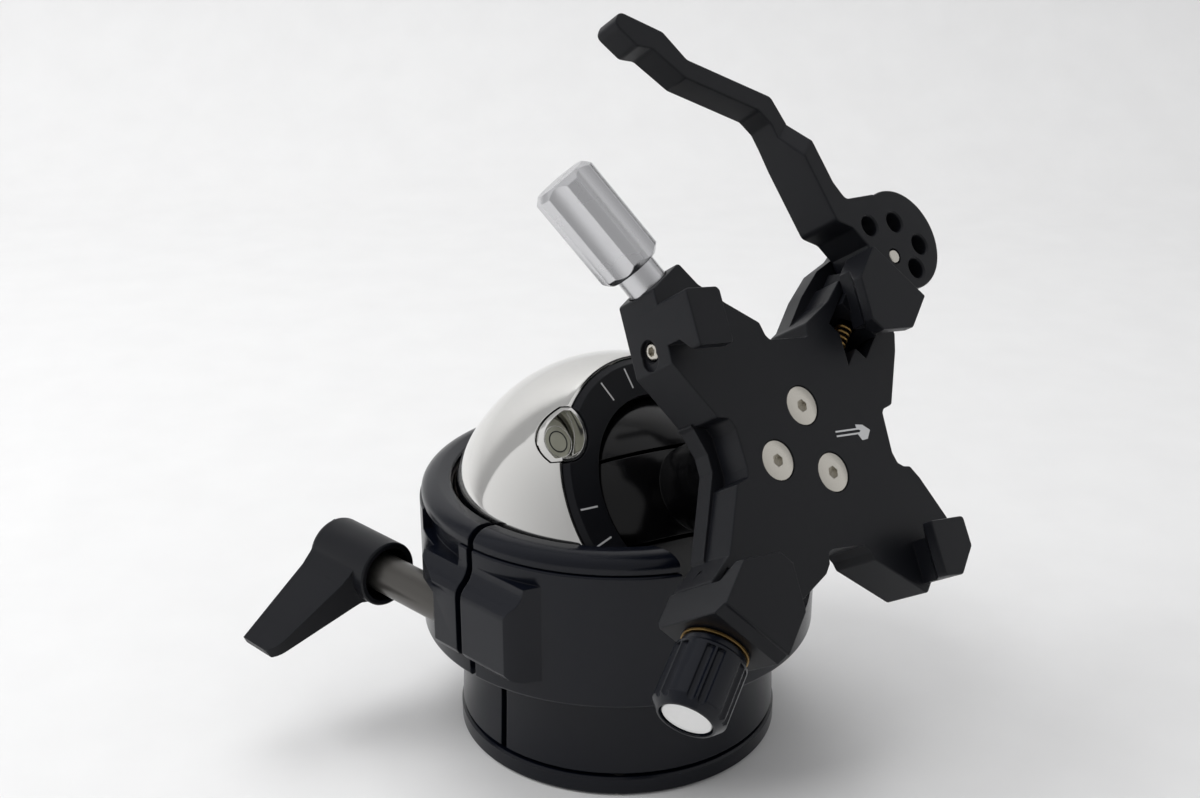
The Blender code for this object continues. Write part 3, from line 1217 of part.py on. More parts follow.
def build_silver_knob(line):
    """A chamfered barrel with shallow flutes milled along it, on a stem and a steel stud."""
    end = SILVER_START + SILVER_LENGTH
    stud_hole = SILVER_STUD_RADIUS + STUD_GAP
    stud_end = STEM_START + SILVER_STUD_OVERLAP
    profile = [
        (0.0, end), (SILVER_RADIUS - SILVER_CHAMFER, end), (SILVER_RADIUS, end - SILVER_CHAMFER),
        (SILVER_RADIUS, SILVER_START + SILVER_CHAMFER), (SILVER_RADIUS - SILVER_CHAMFER, SILVER_START),
        (STEM_RADIUS, SILVER_START), (STEM_RADIUS, STEM_START), (stud_hole, STEM_START),
        (stud_hole, stud_end + GAP), (0.0, stud_end + GAP),
    ]
    knob = turned("silver_knob", profile, line, "satin_silver", LARGE_STEPS)
    reach = SILVER_RADIUS + SILVER_FLUTE_RADIUS - SILVER_FLUTE_DEPTH
    for i in range(SILVER_LOBES):
        angle = math.tau * (i + 0.5) / SILVER_LOBES
        cut(knob, rod(
            f"silver_flute_{i}", SILVER_FLUTE_RADIUS, SILVER_START - GAP, end + GAP, line, steps=MEDIUM_STEPS,
            x=reach * math.cos(angle), y=reach * math.sin(angle),
        ))
    stud = [
        (0.0, stud_end), (SILVER_STUD_RADIUS, stud_end), (SILVER_STUD_RADIUS, SILVER_STUD_START + GAP),
        (SILVER_STUD_RADIUS - GAP, SILVER_STUD_START), (0.0, SILVER_STUD_START),
    ]
    turned("silver_stud", stud, line, "stainless", SMALL_STEPS)


def turn_z(angle):
    return Matrix.Rotation(angle, 4, "Z")


def main():
    root = add_frame("root_frame", Matrix())
    centre = Matrix.Translation((0.0, 0.0, BALL_CENTRE_HEIGHT))
    slit = add_frame("slit_frame", turn_z(SLIT_AZIMUTH))
    outwards = Matrix(((0, 0, 1, 0), (0, 1, 0, 0), (-1, 0, 0, 0), (0, 0, 0, 1)))
    notch = add_frame("notch_frame", turn_z(NOTCH_AZIMUTH) @ outwards)
    sideways = Matrix(((1, 0, 0, SHAFT_PLACE), (0, 0, -1, 0), (0, 1, 0, SHAFT_HEIGHT), (0, 0, 0, 1)))
    shaft = add_frame("lever_frame", turn_z(SLIT_AZIMUTH) @ sideways)
    build_foot(root)
    build_housing(root, slit, notch, shaft)
    build_lower_seat(add_frame("pan_frame", centre))
    build_main_lever(shaft)

    ring = add_frame("ball_frame", centre @ RING_FRAME @ turn_z(LEVEL_AZIMUTH))
    build_ball(ring)

    clamp = add_frame("clamp_frame", centre @ CLAMP_FRAME @ turn_z(CLAMP_SPIN))
    axle = add_frame("axle_frame", Matrix.Rotation(-math.pi / 2, 4, "X"), clamp)
    build_cheek("cheek_front", axle, 0.0)
    build_cheek("cheek_back", axle, math.pi)
    build_axle(axle)
    screws = spots(SCREW_COUNT, SCREW_CIRCLE, SCREW_PHASE, DECK_HEIGHT - SCREW_SINK, "deck_screw_place", clamp)
    build_tilt_ball(clamp, axle, screws)
    arm_b = add_frame("jaw_b_frame", turn_z(math.radians(225.0)), clamp)
    arm_c = add_frame("jaw_c_frame", turn_z(math.radians(45.0)), clamp)
    silver_way = turn_z(SILVER_AZIMUTH) @ Matrix(
        ((0, 0, 1, 0), (1, 0, 0, 0), (0, 1, 0, DECK_HEIGHT - SILVER_DEPTH), (0, 0, 0, 1))
    )
    silver = add_frame("silver_frame", silver_way, clamp)
    build_deck(clamp, arm_b, arm_c, silver, screws)
    build_plate_screws(screws)
    build_setscrew(clamp)
    build_spring(arm_c)
    build_jaw_b(arm_b, clamp)
    build_jaw_c(arm_c, clamp)
    pin = (PIN_PLACE * math.cos(math.radians(45.0)), PIN_PLACE * math.sin(math.radians(45.0)), DECK_HEIGHT)
    cam = add_frame("cam_frame", Matrix.Translation(pin), clamp)
    build_cam_lever(cam)
    build_pin(cam)
    build_black_knob(along_x("knob_frame", DECK_HEIGHT - KNOB_DEPTH, arm_b))
    build_silver_knob(silver)


main()
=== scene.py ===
"""A double-ball camera head with a split clamping housing and a four-jaw plate clamp, in a light studio.

Lengths are in metres, +Z is up, and the origin is the centre of the foot's underside.
"""

import logging
import math
from dataclasses import dataclass, field
from enum import Enum
from typing import Iterable, Sequence

import bmesh
import bpy
import numpy as np
from mathutils import Matrix, Vector


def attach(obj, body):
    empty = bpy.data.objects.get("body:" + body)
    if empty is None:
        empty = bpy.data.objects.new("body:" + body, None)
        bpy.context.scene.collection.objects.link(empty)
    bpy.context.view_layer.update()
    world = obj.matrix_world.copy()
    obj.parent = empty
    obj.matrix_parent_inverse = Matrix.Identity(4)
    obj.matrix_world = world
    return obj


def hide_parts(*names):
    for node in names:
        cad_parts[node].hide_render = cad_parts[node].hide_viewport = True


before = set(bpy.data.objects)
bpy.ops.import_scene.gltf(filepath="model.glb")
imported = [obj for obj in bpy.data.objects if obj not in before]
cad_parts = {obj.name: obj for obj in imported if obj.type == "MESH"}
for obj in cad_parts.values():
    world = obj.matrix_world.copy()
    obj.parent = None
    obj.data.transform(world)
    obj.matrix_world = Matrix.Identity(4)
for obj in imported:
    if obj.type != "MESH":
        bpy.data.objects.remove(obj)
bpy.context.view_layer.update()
LOG = logging.getLogger("ball_head")

MM = 0.001
# Clearance between neighbours, and how far cutters run past what they cut.
GAP = 0.3 * MM
REACH = 6.0 * MM
# Points round a circle, and the fineness of arcs and rounded corners.
LARGE = 192
MEDIUM = 96
SMALL = 48
ARC_STEP = math.radians(2.0)
CORNER_STEPS = 6
# Points closer than this are welded, edges that turn by more than this stay sharp, and corners
# straighter than this aren't rounded.
WELD = 0.0005 * MM
SHARP = math.radians(28.0)
STRAIGHT = math.radians(172.0)
# Where the middle point of a two-face rounding lies, in shares of its size.
ROUND_SHARE = 0.3
# Sides of a screw's socket, and how far the countersunk screws' sockets are turned.
HEX = 6
HEX_TURN = 0.3
# Print lies this far in and over its face.
INK_BELOW = 0.05 * MM
INK_ABOVE = 0.02 * MM
# How far gloss and tint wander, how much darker the tint gets, and the height of the grain.
CLOUD = 18 * MM
TINT = 0.93
BUMP = 0.1 * MM
# The colour sockets of a mix node, whose names its number sockets share.
MIX_LOW, MIX_HIGH, MIX_RESULT = 6, 7, 2

Outline = list[tuple[float, float]]
Table = tuple[tuple[float, float], ...]


class Body(Enum):
    """The bodies that the pieces ride on."""

    ROOT = "root"
    LEVER = "main_lever"
    BALL = "levelling_ball"
    CHEEKS = "pan_cheeks"
    CLAMP = "clamp"
    BLACK_JAW = "black_jaw"
    JAW_KNOB = "jaw_knob"
    CAM = "cam"
    CAM_JAW = "cam_jaw"
    SIDE_KNOB = "side_knob"


# Node and colour helpers


def linear(code: str) -> tuple[float, float, float, float]:
    """Turns an sRGB hex colour to linear.

    Args:
        code: Six hex digits.

    Returns:
        Linear red, green, blue and an alpha of 1.
    """
    parts = [int(code[i : i + 2], 16) / 255 for i in (0, 2, 4)]
    red, green, blue = (c / 12.92 if c <= 0.04045 else ((c + 0.055) / 1.055) ** 2.4 for c in parts)
    return red, green, blue, 1.0


def add_node(
    tree: bpy.types.NodeTree, kind: str, settings: dict | None = None, links: dict | None = None
) -> bpy.types.Node:
    """Adds a node, sets its properties or input values, and links its inputs.

    Args:
        tree: The node tree.
        kind: The node's type name.
        settings: Property or input name to value.
        links: Input name to the socket that feeds it.

    Returns:
        The new node.
    """
    made = tree.nodes.new(kind)
    for name, value in (settings or {}).items():
        if name in made.inputs:
            made.inputs[name].default_value = value
        else:
            setattr(made, name, value)
    for name, source in (links or {}).items():
        tree.links.new(source, made.inputs[name])
    return made


@dataclass(frozen=True)
class Finish:
    """A metal or plastic surface with a fine grain and slightly uneven gloss.

    Attributes:
        name: What a maker calls it.
        colour: sRGB hex.
        metallic: Share of metal.
        roughness: Middle roughness.
        grain: Size of the grain in metres, drawn coarse enough to show.
        relief: Strength of the grain's bump.
        shine: Specular level of what isn't metal; the dye in anodised skin takes up part of the light.
        spread: How far roughness wanders either way.
        edge: Radius of the broken edges in metres, drawn in the shading.
    """

    name: str
    colour: str
    metallic: float
    roughness: float
    grain: float = 0.4 * MM
    relief: float = 0.05
    shine: float = 0.5
    spread: float = 0.04
    edge: float = 0.25 * MM

    def material(self) -> bpy.types.Material:
        """Builds the material once, and hands back the same one after that.

        Returns:
            The finish as a material.
        """
        found = bpy.data.materials.get(self.name)
        if found:
            return found
        made = bpy.data.materials.new(self.name)
        made.use_nodes = True
        tree = made.node_tree
        shader = tree.nodes["Principled BSDF"]
        shader.inputs["Metallic"].default_value = self.metallic
        shader.inputs["Specular IOR Level"].default_value = self.shine
        place = add_node(tree, "ShaderNodeTexCoord").outputs["Object"]
        cloud = add_node(
            tree, "ShaderNodeTexNoise", {"Scale": 1 / CLOUD, "Detail": 4.0}, {"Vector": place}
        ).outputs["Fac"]
        gloss = add_node(
            tree,
            "ShaderNodeMapRange",
            {"To Min": self.roughness - self.spread, "To Max": self.roughness + self.spread},
            {"Value": cloud},
        )
        tree.links.new(gloss.outputs["Result"], shader.inputs["Roughness"])
        base = linear(self.colour)
        tint = add_node(tree, "ShaderNodeMix", {"data_type": "RGBA"}, {"Factor": cloud})
        tint.inputs[MIX_LOW].default_value = tuple(c * TINT for c in base[:3]) + (1.0,)
        tint.inputs[MIX_HIGH].default_value = base
        tree.links.new(tint.outputs[MIX_RESULT], shader.inputs["Base Color"])
        normal = self.surface(tree, place)
        if normal:
            tree.links.new(normal, shader.inputs["Normal"])
        return made

    def surface(self, tree: bpy.types.NodeTree, place: bpy.types.NodeSocket) -> bpy.types.NodeSocket | None:
        """Adds the broken edges and the grain.

        Args:
            tree: The material's nodes.
            place: The piece's own coordinates.

        Returns:
            The normal, or None for a plain surface.
        """
        normal = None
        if self.edge:
            normal = add_node(tree, "ShaderNodeBevel", {"samples": 4, "Radius": self.edge}).outputs["Normal"]
        if self.relief:
            speck = add_node(
                tree, "ShaderNodeTexNoise", {"Scale": 1 / self.grain, "Detail": 2.0}, {"Vector": place}
            )
            links = {"Height": speck.outputs["Fac"]}
            if normal:
                links["Normal"] = normal
            bump = add_node(tree, "ShaderNodeBump", {"Strength": self.relief, "Distance": BUMP}, links)
            normal = bump.outputs["Normal"]
        return normal


# Black hard-anodised aluminium, bead blasted: a faint blue cast and broad, soft highlights.
BLACK = Finish(
    "black_anodised_aluminium", "111216", 0.0, 0.42, grain=0.35 * MM, relief=0.06, shine=0.22
)
# The same anodising over a fine-turned surface, glossier, as on the drum and the ring.
DRUM_BLACK = Finish(
    "turned_black_anodised_aluminium", "070A13", 0.0, 0.24, relief=0.03, shine=0.28, edge=0.3 * MM
)
# The inner ball is polished before it is anodised, so it mirrors what stands over it.
BALL_BLACK = Finish(
    "polished_black_anodised_aluminium", "050506", 0.0, 0.16, relief=0.0, shine=0.3, edge=0.2 * MM
)
# Aluminium polished to a mirror, with the faintest haze.
MIRROR = Finish(
    "mirror_polished_aluminium", "E4E3E0", 1.0, 0.07, relief=0.0, spread=0.015, edge=0.15 * MM
)
# Aluminium turned and clear anodised: silky, a little rougher than the ball.
SATIN = Finish("satin_clear_anodised_aluminium", "D2D2D4", 1.0, 0.27, grain=0.2 * MM)
# Stainless steel screw heads, turned bright.
STAINLESS = Finish("bright_stainless_steel", "CBC7BE", 1.0, 0.24, relief=0.02, edge=0.15 * MM)
# Steel with a dark oxide skin, which dulls the metal under it.
DARK_STEEL = Finish("dark_oxide_steel", "5A5855", 0.85, 0.34, relief=0.04)
# Bronze, turned and dulled by the air: a brown metal with a soft gloss.
BRONZE = Finish("turned_bronze", "A08250", 1.0, 0.34, relief=0.03)
# Acetal slide ring, moulded dull, dark brown against the black.
SLIDE = Finish("dull_acetal", "2A2521", 0.0, 0.5)
# Brushed nickel-faced disc let into the knob: nearly white, with a soft gloss.
DISC = Finish("satin_nickel_disc", "E9E9E8", 0.35, 0.3, relief=0.02, edge=0.1 * MM)
# Black ink printed on the vial: flat and even.
SIGHT = Finish("black_print", "0C0C0C", 0.0, 0.4, relief=0.0, edge=0.0)
# Pale ink put on by pad: flat and even, without grain.
PRINT = Finish("pale_print", "C9CACB", 0.0, 0.5, relief=0.0, edge=0.0)
# Tinted spirit behind acrylic, seen against the vial's pale floor: glossy and greenish.
SPIRIT = Finish("tinted_spirit", "A9A99A", 0.2, 0.18, relief=0.0, edge=0.0)
# Matt white paper, hung as a sweep.
PAPER = Finish("white_paper_sweep", "E6E6E6", 0.0, 0.7, relief=0.0, edge=0.0)


# Shapes


def arc(radius: float, start: float, end: float, centre: float = 0.0) -> Outline:
    """Points of a circle round (0, centre): (r sin a, centre + r cos a) for a from start to end.

    Args:
        radius: The circle's radius.
        start: First polar angle, 0 being the top.
        end: Last polar angle.
        centre: Height of the circle's centre.

    Returns:
        The points in order.
    """
    count = max(1, math.ceil(abs(end - start) / ARC_STEP))
    turns = np.linspace(start, end, count + 1)
    return list(zip((radius * np.sin(turns)).tolist(), (centre + radius * np.cos(turns)).tolist()))


def quarter(
    middle: tuple[float, float], across: float, up: float, count: int, back: bool = False
) -> Outline:
    """Points of a quarter ellipse: (x + across sin a, y + up cos a) for a from 0 to a right angle.

    Args:
        middle: The ellipse's centre.
        across: Its half width, negative to curve inwards.
        up: Its half height, negative to curve downwards.
        count: How many points.
        back: Whether the points run the other way.

    Returns:
        The points in order.
    """
    turns = np.linspace(0.0, math.pi / 2, count)
    if back:
        turns = turns[::-1]
    points = np.stack((middle[0] + across * np.sin(turns), middle[1] + up * np.cos(turns)), axis=1)
    return list(map(tuple, points.tolist()))


def scaled(shares: Sequence[tuple[float, float]], size: float) -> Outline:
    """Points given in shares of a size."""
    return [(x * size, y * size) for x, y in shares]


def circle(radius: float, steps: int, phase: float = 0.0) -> Outline:
    """Points of a full circle: (r cos a, r sin a) for a in even steps from the phase."""
    turns = phase + np.arange(steps) * (math.tau / steps)
    return list(zip((radius * np.cos(turns)).tolist(), (radius * np.sin(turns)).tolist()))


def rounded(
    points: Sequence[tuple[float, float]], radius: float, only: Iterable[int] | None = None
) -> Outline:
    """Replaces corners by curves: each is a (1-t)^2 + 2 h t (1-t) + b t^2, with h the corner.

    Args:
        points: The outline's corners.
        radius: The wanted corner radius; short sides allow less.
        only: Which corners to round, or None for all.

    Returns:
        The rounded outline.
    """
    wanted = set(range(len(points))) if only is None else set(only)
    out: Outline = []
    steps = np.linspace(0.0, 1.0, CORNER_STEPS + 1)[:, None]
    for i, point in enumerate(points):
        here = np.array(point)
        before = np.array(points[i - 1]) - here
        after = np.array(points[(i + 1) % len(points)]) - here
        lengths = np.linalg.norm(before), np.linalg.norm(after)
        corner = math.acos(float(np.clip(before @ after / (lengths[0] * lengths[1]), -1, 1)))
        if i not in wanted or corner > STRAIGHT:
            out.append((float(here[0]), float(here[1])))
            continue
        reach = min(radius / math.tan(corner / 2), lengths[0] / 2, lengths[1] / 2)
        a = here + before / lengths[0] * reach
        b = here + after / lengths[1] * reach
        curve = a * (1 - steps) ** 2 + here * 2 * steps * (1 - steps) + b * steps**2
        out.extend(map(tuple, curve.tolist()))
    return out


class Form:
    """A closed mesh while it is being shaped. Its place is in its vertices."""

    def __init__(self, name: str, points: np.ndarray, faces: list, place: Matrix) -> None:
        """Makes the mesh, welds doubled points and turns its faces outwards.

        Args:
            name: The object's name.
            points: An (n, 3) array in the place's coordinates.
            faces: Lists of point numbers.
            place: Where those coordinates lie in the world.
        """
        mesh = bpy.data.meshes.new(name)
        mesh.from_pydata(points.tolist(), [], faces)
        work = bmesh.new()
        work.from_mesh(mesh)
        bmesh.ops.remove_doubles(work, verts=work.verts, dist=WELD)
        bmesh.ops.recalc_face_normals(work, faces=work.faces)
        work.to_mesh(mesh)
        work.free()
        mesh.transform(place)
        self.obj = bpy.data.objects.new(name, mesh)
        bpy.context.scene.collection.objects.link(self.obj)

    @classmethod
    def turned(
        cls, name: str, profile: Outline, place: Matrix, steps: int = MEDIUM, ring: bool = False
    ) -> "Form":
        """Turns a profile round Z: the grid is (r_i cos t_j, r_i sin t_j, z_i).

        Args:
            name: The object's name.
            profile: (radius, height) points.
            place: Where the turning axis lies.
            steps: Points round the circle.
            ring: Whether the profile closes on itself rather than on the axis.

        Returns:
            The form.
        """
        radius, height = np.array(profile).T
        turns = np.arange(steps) * (math.tau / steps)
        grid = np.stack(
            (
                radius[:, None] * np.cos(turns),
                radius[:, None] * np.sin(turns),
                np.repeat(height[:, None], steps, axis=1),
            ),
            axis=2,
        )
        rows = len(profile) if ring else len(profile) - 1
        i, j = np.meshgrid(np.arange(rows), np.arange(steps), indexing="ij")
        below = (i + 1) % len(profile)
        beside = (j + 1) % steps
        quads = np.stack(
            (i * steps + j, below * steps + j, below * steps + beside, i * steps + beside), axis=2
        )
        return cls(name, grid.reshape(-1, 3), quads.reshape(-1, 4).tolist(), place)

    @classmethod
    def prism(cls, name: str, outline: Outline, low: float, high: float, place: Matrix) -> "Form":
        """Carries an outline straight from one height to another and caps both ends.

        Args:
            name: The object's name.
            outline: Its points in order.
            low: Height of the first cap.
            high: Height of the last cap.
            place: Where the outline's plane lies.

        Returns:
            The form.
        """
        flat = np.array(outline)
        count = len(flat)
        points = np.concatenate(
            (np.column_stack((flat, np.full(count, low))), np.column_stack((flat, np.full(count, high))))
        )
        i = np.arange(count)
        after = (i + 1) % count
        sides = np.stack((i, after, after + count, i + count), axis=1).tolist()
        return cls(name, points, [i[::-1].tolist(), (i + count).tolist(), *sides], place)

    @classmethod
    def rod(
        cls, name: str, radius: float, low: float, high: float, place: Matrix, steps: int = SMALL,
        x: float = 0.0, y: float = 0.0,
    ) -> "Form":
        """A plain round bar along Z."""
        outline = [(x + a, y + b) for a, b in circle(radius, steps)]
        return cls.prism(name, outline, low, high, place)

    @classmethod
    def block(cls, name: str, low: Sequence[float], high: Sequence[float], place: Matrix) -> "Form":
        """A box between two corners."""
        outline = [(low[0], low[1]), (high[0], low[1]), (high[0], high[1]), (low[0], high[1])]
        return cls.prism(name, outline, low[2], high[2], place)

    def bevel(self, width: float, segments: int = 3, angle: float = 50.0) -> "Form":
        """Rounds the edges that turn by more than an angle.

        Args:
            width: The bevel's width.
            segments: Faces across it.
            angle: The least turn, in degrees.

        Returns:
            This form.
        """
        modifier = self.obj.modifiers.new("edge", "BEVEL")
        modifier.width = width
        modifier.segments = segments
        modifier.limit_method = "ANGLE"
        modifier.angle_limit = math.radians(angle)
        modifier.harden_normals = False
        return self.settle()

    def settle(self) -> "Form":
        """Bakes the modifiers into the mesh.

        Returns:
            This form.
        """
        bpy.context.view_layer.update()
        graph = bpy.context.evaluated_depsgraph_get()
        mesh = bpy.data.meshes.new_from_object(self.obj.evaluated_get(graph))
        old = self.obj.data
        self.obj.modifiers.clear()
        self.obj.data = mesh
        bpy.data.meshes.remove(old)
        return self

    def combine(self, others: Sequence["Form"], operation: str) -> "Form":
        """Joins, cuts or keeps the common volume with other forms, which are used up.

        Args:
            others: The other forms.
            operation: The Boolean's name.

        Returns:
            This form.
        """
        for other in others:
            modifier = self.obj.modifiers.new("combine", "BOOLEAN")
            modifier.operation = operation
            modifier.object = other.obj
            modifier.solver = "MANIFOLD"
        self.settle()
        for other in others:
            other.drop()
        if not len(self.obj.data.polygons):
            LOG.warning("%s lost all its faces", self.obj.name)
        return self

    def cut(self, *others: "Form") -> "Form":
        """Takes other forms out of this one."""
        return self.combine(others, "DIFFERENCE")

    def join(self, *others: "Form") -> "Form":
        """Adds other forms to this one."""
        return self.combine(others, "UNION")

    def keep(self, *others: "Form") -> "Form":
        """Keeps what lies inside the others too."""
        return self.combine(others, "INTERSECT")

    def drop(self) -> None:
        """Removes the form from the scene."""
        mesh = self.obj.data
        bpy.data.objects.remove(self.obj, do_unlink=True)
        bpy.data.meshes.remove(mesh)

    def dress(self, finish: Finish, body: Body, nodes: Sequence[str] = (), slot: str | None = None) -> None:
        """Finishes the piece and hangs it on its body.

        Args:
            finish: The surface.
            body: What it moves with.
            nodes: The plain nodes that it stands for.
            slot: Not used.
        """
        mesh = self.obj.data
        mesh.materials.clear()
        mesh.materials.append(finish.material())
        mesh.shade_smooth()
        mesh.set_sharp_from_angle(angle=SHARP)
        level = self.obj.modifiers.new("normals", "WEIGHTED_NORMAL")
        level.keep_sharp = True
        level.weight = 90
        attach(self.obj, body.value)
        if nodes:
            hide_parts(*nodes)
        LOG.info("%s: %d faces", self.obj.name, len(mesh.polygons))


def shift(x: float = 0.0, y: float = 0.0, z: float = 0.0) -> Matrix:
    """A move."""
    return Matrix.Translation((x, y, z))


def turn(angle: float, axis: str = "Z") -> Matrix:
    """A turn about an axis, in radians."""
    return Matrix.Rotation(angle, 4, axis)


def along_x(height: float) -> Matrix:
    """Turns Z to the parent's X, at a height."""
    return Matrix(((0, 0, 1, 0), (1, 0, 0, 0), (0, 1, 0, height), (0, 0, 0, 1)))


@dataclass(frozen=True)
class Screw:
    """A countersunk screw with a hexagon socket, its face at height 0.

    Attributes:
        head: Radius of the head.
        sink: Height of the head.
        shank: Radius of the shank.
        length: From the face to the end.
        socket: Corner radius of the socket.
        socket_depth: Depth of the socket.
        rim: Size of the head's rounded rim.
    """

    head: float
    sink: float
    shank: float
    length: float
    socket: float
    socket_depth: float
    rim: float = 0.12 * MM

    def form(self, name: str, place: Matrix, play: float = 0.0) -> Form:
        """Turns the screw, or its hole where play is given.

        Args:
            name: The object's name.
            place: Where its axis lies.
            play: How much wider and deeper it is all round.

        Returns:
            The form.
        """
        head, shank, rim = self.head + play, self.shank + play, self.rim
        middle = rim * ROUND_SHARE
        profile = [
            (0.0, 0.0), (head - rim, 0.0), (head - middle, -middle), (head, -rim), (head, -rim * 2),
            (shank, -self.sink - play), (shank, -self.length), (0.0, -self.length),
        ]
        return Form.turned(name, profile, place, SMALL * 2)

    def bright(self, name: str, place: Matrix) -> Form:
        """The screw with its socket."""
        socket = circle(self.socket, HEX, HEX_TURN)
        return self.form(name, place).cut(Form.prism("hex", socket, -self.socket_depth, REACH, place))


BALL = 32.5 * MM
BALL_HEIGHT = 41.78 * MM
CENTRE = shift(z=BALL_HEIGHT)
# The attitude of the outer ball's ring, of the clamp, and of the slit and its lug.
RING_PLACE = (
    CENTRE @ turn(math.radians(-42.56)) @ turn(math.radians(54.56), "Y") @ turn(math.radians(-132.0))
)
CLAMP_PLACE = (
    CENTRE @ turn(math.radians(-46.105)) @ turn(math.radians(57.098), "Y") @ turn(math.radians(79.675))
)
SLIT_PLACE = turn(math.radians(-134.5))
# Stands an outline up, so that its Y is a height.
UPRIGHT = turn(math.pi / 2, "X")


@dataclass
class Lug:
    """The clamp lug, which holds the screw that closes the slit. Its X points out of the drum.

    Attributes:
        inner: How far out it starts, inside the drum's wall.
        face: How far out its flat face lies.
        foot: Side outline under the face, from the drum outwards, in millimetres.
        top: Height where the shoulder leaves the face.
        shoulder: Radius of the shoulder over the face.
        hollow: Radius of the hollow that runs up into the drum.
        lean: How far the shoulder turns before the hollow starts.
        reach: Length left of the slit, shoulder included.
        reach_face: How far out the shoulder still is there.
        end: Length of the face left of the slit.
        overhang: Height where the shoulder goes on past that end.
        plan: Plan outline right of the reach, in millimetres.
        corner: Radius of the plan's right corner.
        edge: Width of the broken edges.
        low: Where the plan's cutters start.
        high: Where they end, and how far out.
    """

    inner: float = 33.6 * MM
    face: float = 41.0 * MM
    foot: Table = ((33.6, 27.0), (38.2, 27.2), (40.4, 28.3), (41.0, 29.3))
    top: float = 39.8 * MM
    shoulder: float = 3.0 * MM
    hollow: float = 4.15 * MM
    lean: float = math.radians(55.0)
    reach: float = 12.4 * MM
    reach_face: float = 38.65 * MM
    end: float = 6.8 * MM
    overhang: float = 38.7 * MM
    plan: Table = ((41.8, -5.0), (41.8, 12.4), (35.0, 15.0), (33.6, 15.0))
    corner: float = 5.0 * MM
    edge: float = 0.5 * MM
    low: float = 20.0 * MM
    high: float = 48.0 * MM

    def side(self) -> Outline:
        """Foot, face, the shoulder's arc and the hollow's arc, which meet at one slope.

        Returns:
            (out, height) points.
        """
        turns = np.linspace(0.0, self.lean, 9)
        start = self.face - self.shoulder
        shoulder = np.stack(
            (start + self.shoulder * np.cos(turns), self.top + self.shoulder * np.sin(turns)), axis=1
        )
        back = turns[-2::-1]
        hollow = shoulder[-1] + self.hollow * np.stack(
            (math.cos(self.lean) - np.cos(back), math.sin(self.lean) - np.sin(back)), axis=1
        )
        curves = list(map(tuple, np.concatenate((shoulder, hollow)).tolist()))
        return [*scaled(self.foot, MM), *curves, (self.inner, curves[-1][1])]

    def form(self) -> Form:
        """Carries the side outline along the lug, keeps it in the plan and cuts the left end back.

        Returns:
            The lug.
        """
        half = 3 * REACH
        lug = Form.prism("lug", self.side(), -half, half, SLIT_PLACE @ UPRIGHT)
        plan = [(self.inner, -self.reach), (self.reach_face, -self.reach), *scaled(self.plan, MM)]
        plan = rounded(plan, self.corner, only=(3,))
        lug.keep(Form.prism("plan", plan, self.low, self.high, SLIT_PLACE))
        near = (self.inner - REACH, -self.reach - REACH, self.low)
        far = (self.high, -self.end, self.overhang)
        lug.cut(Form.block("relief", near, far, SLIT_PLACE))
        return lug.bevel(self.edge, 4, 40)


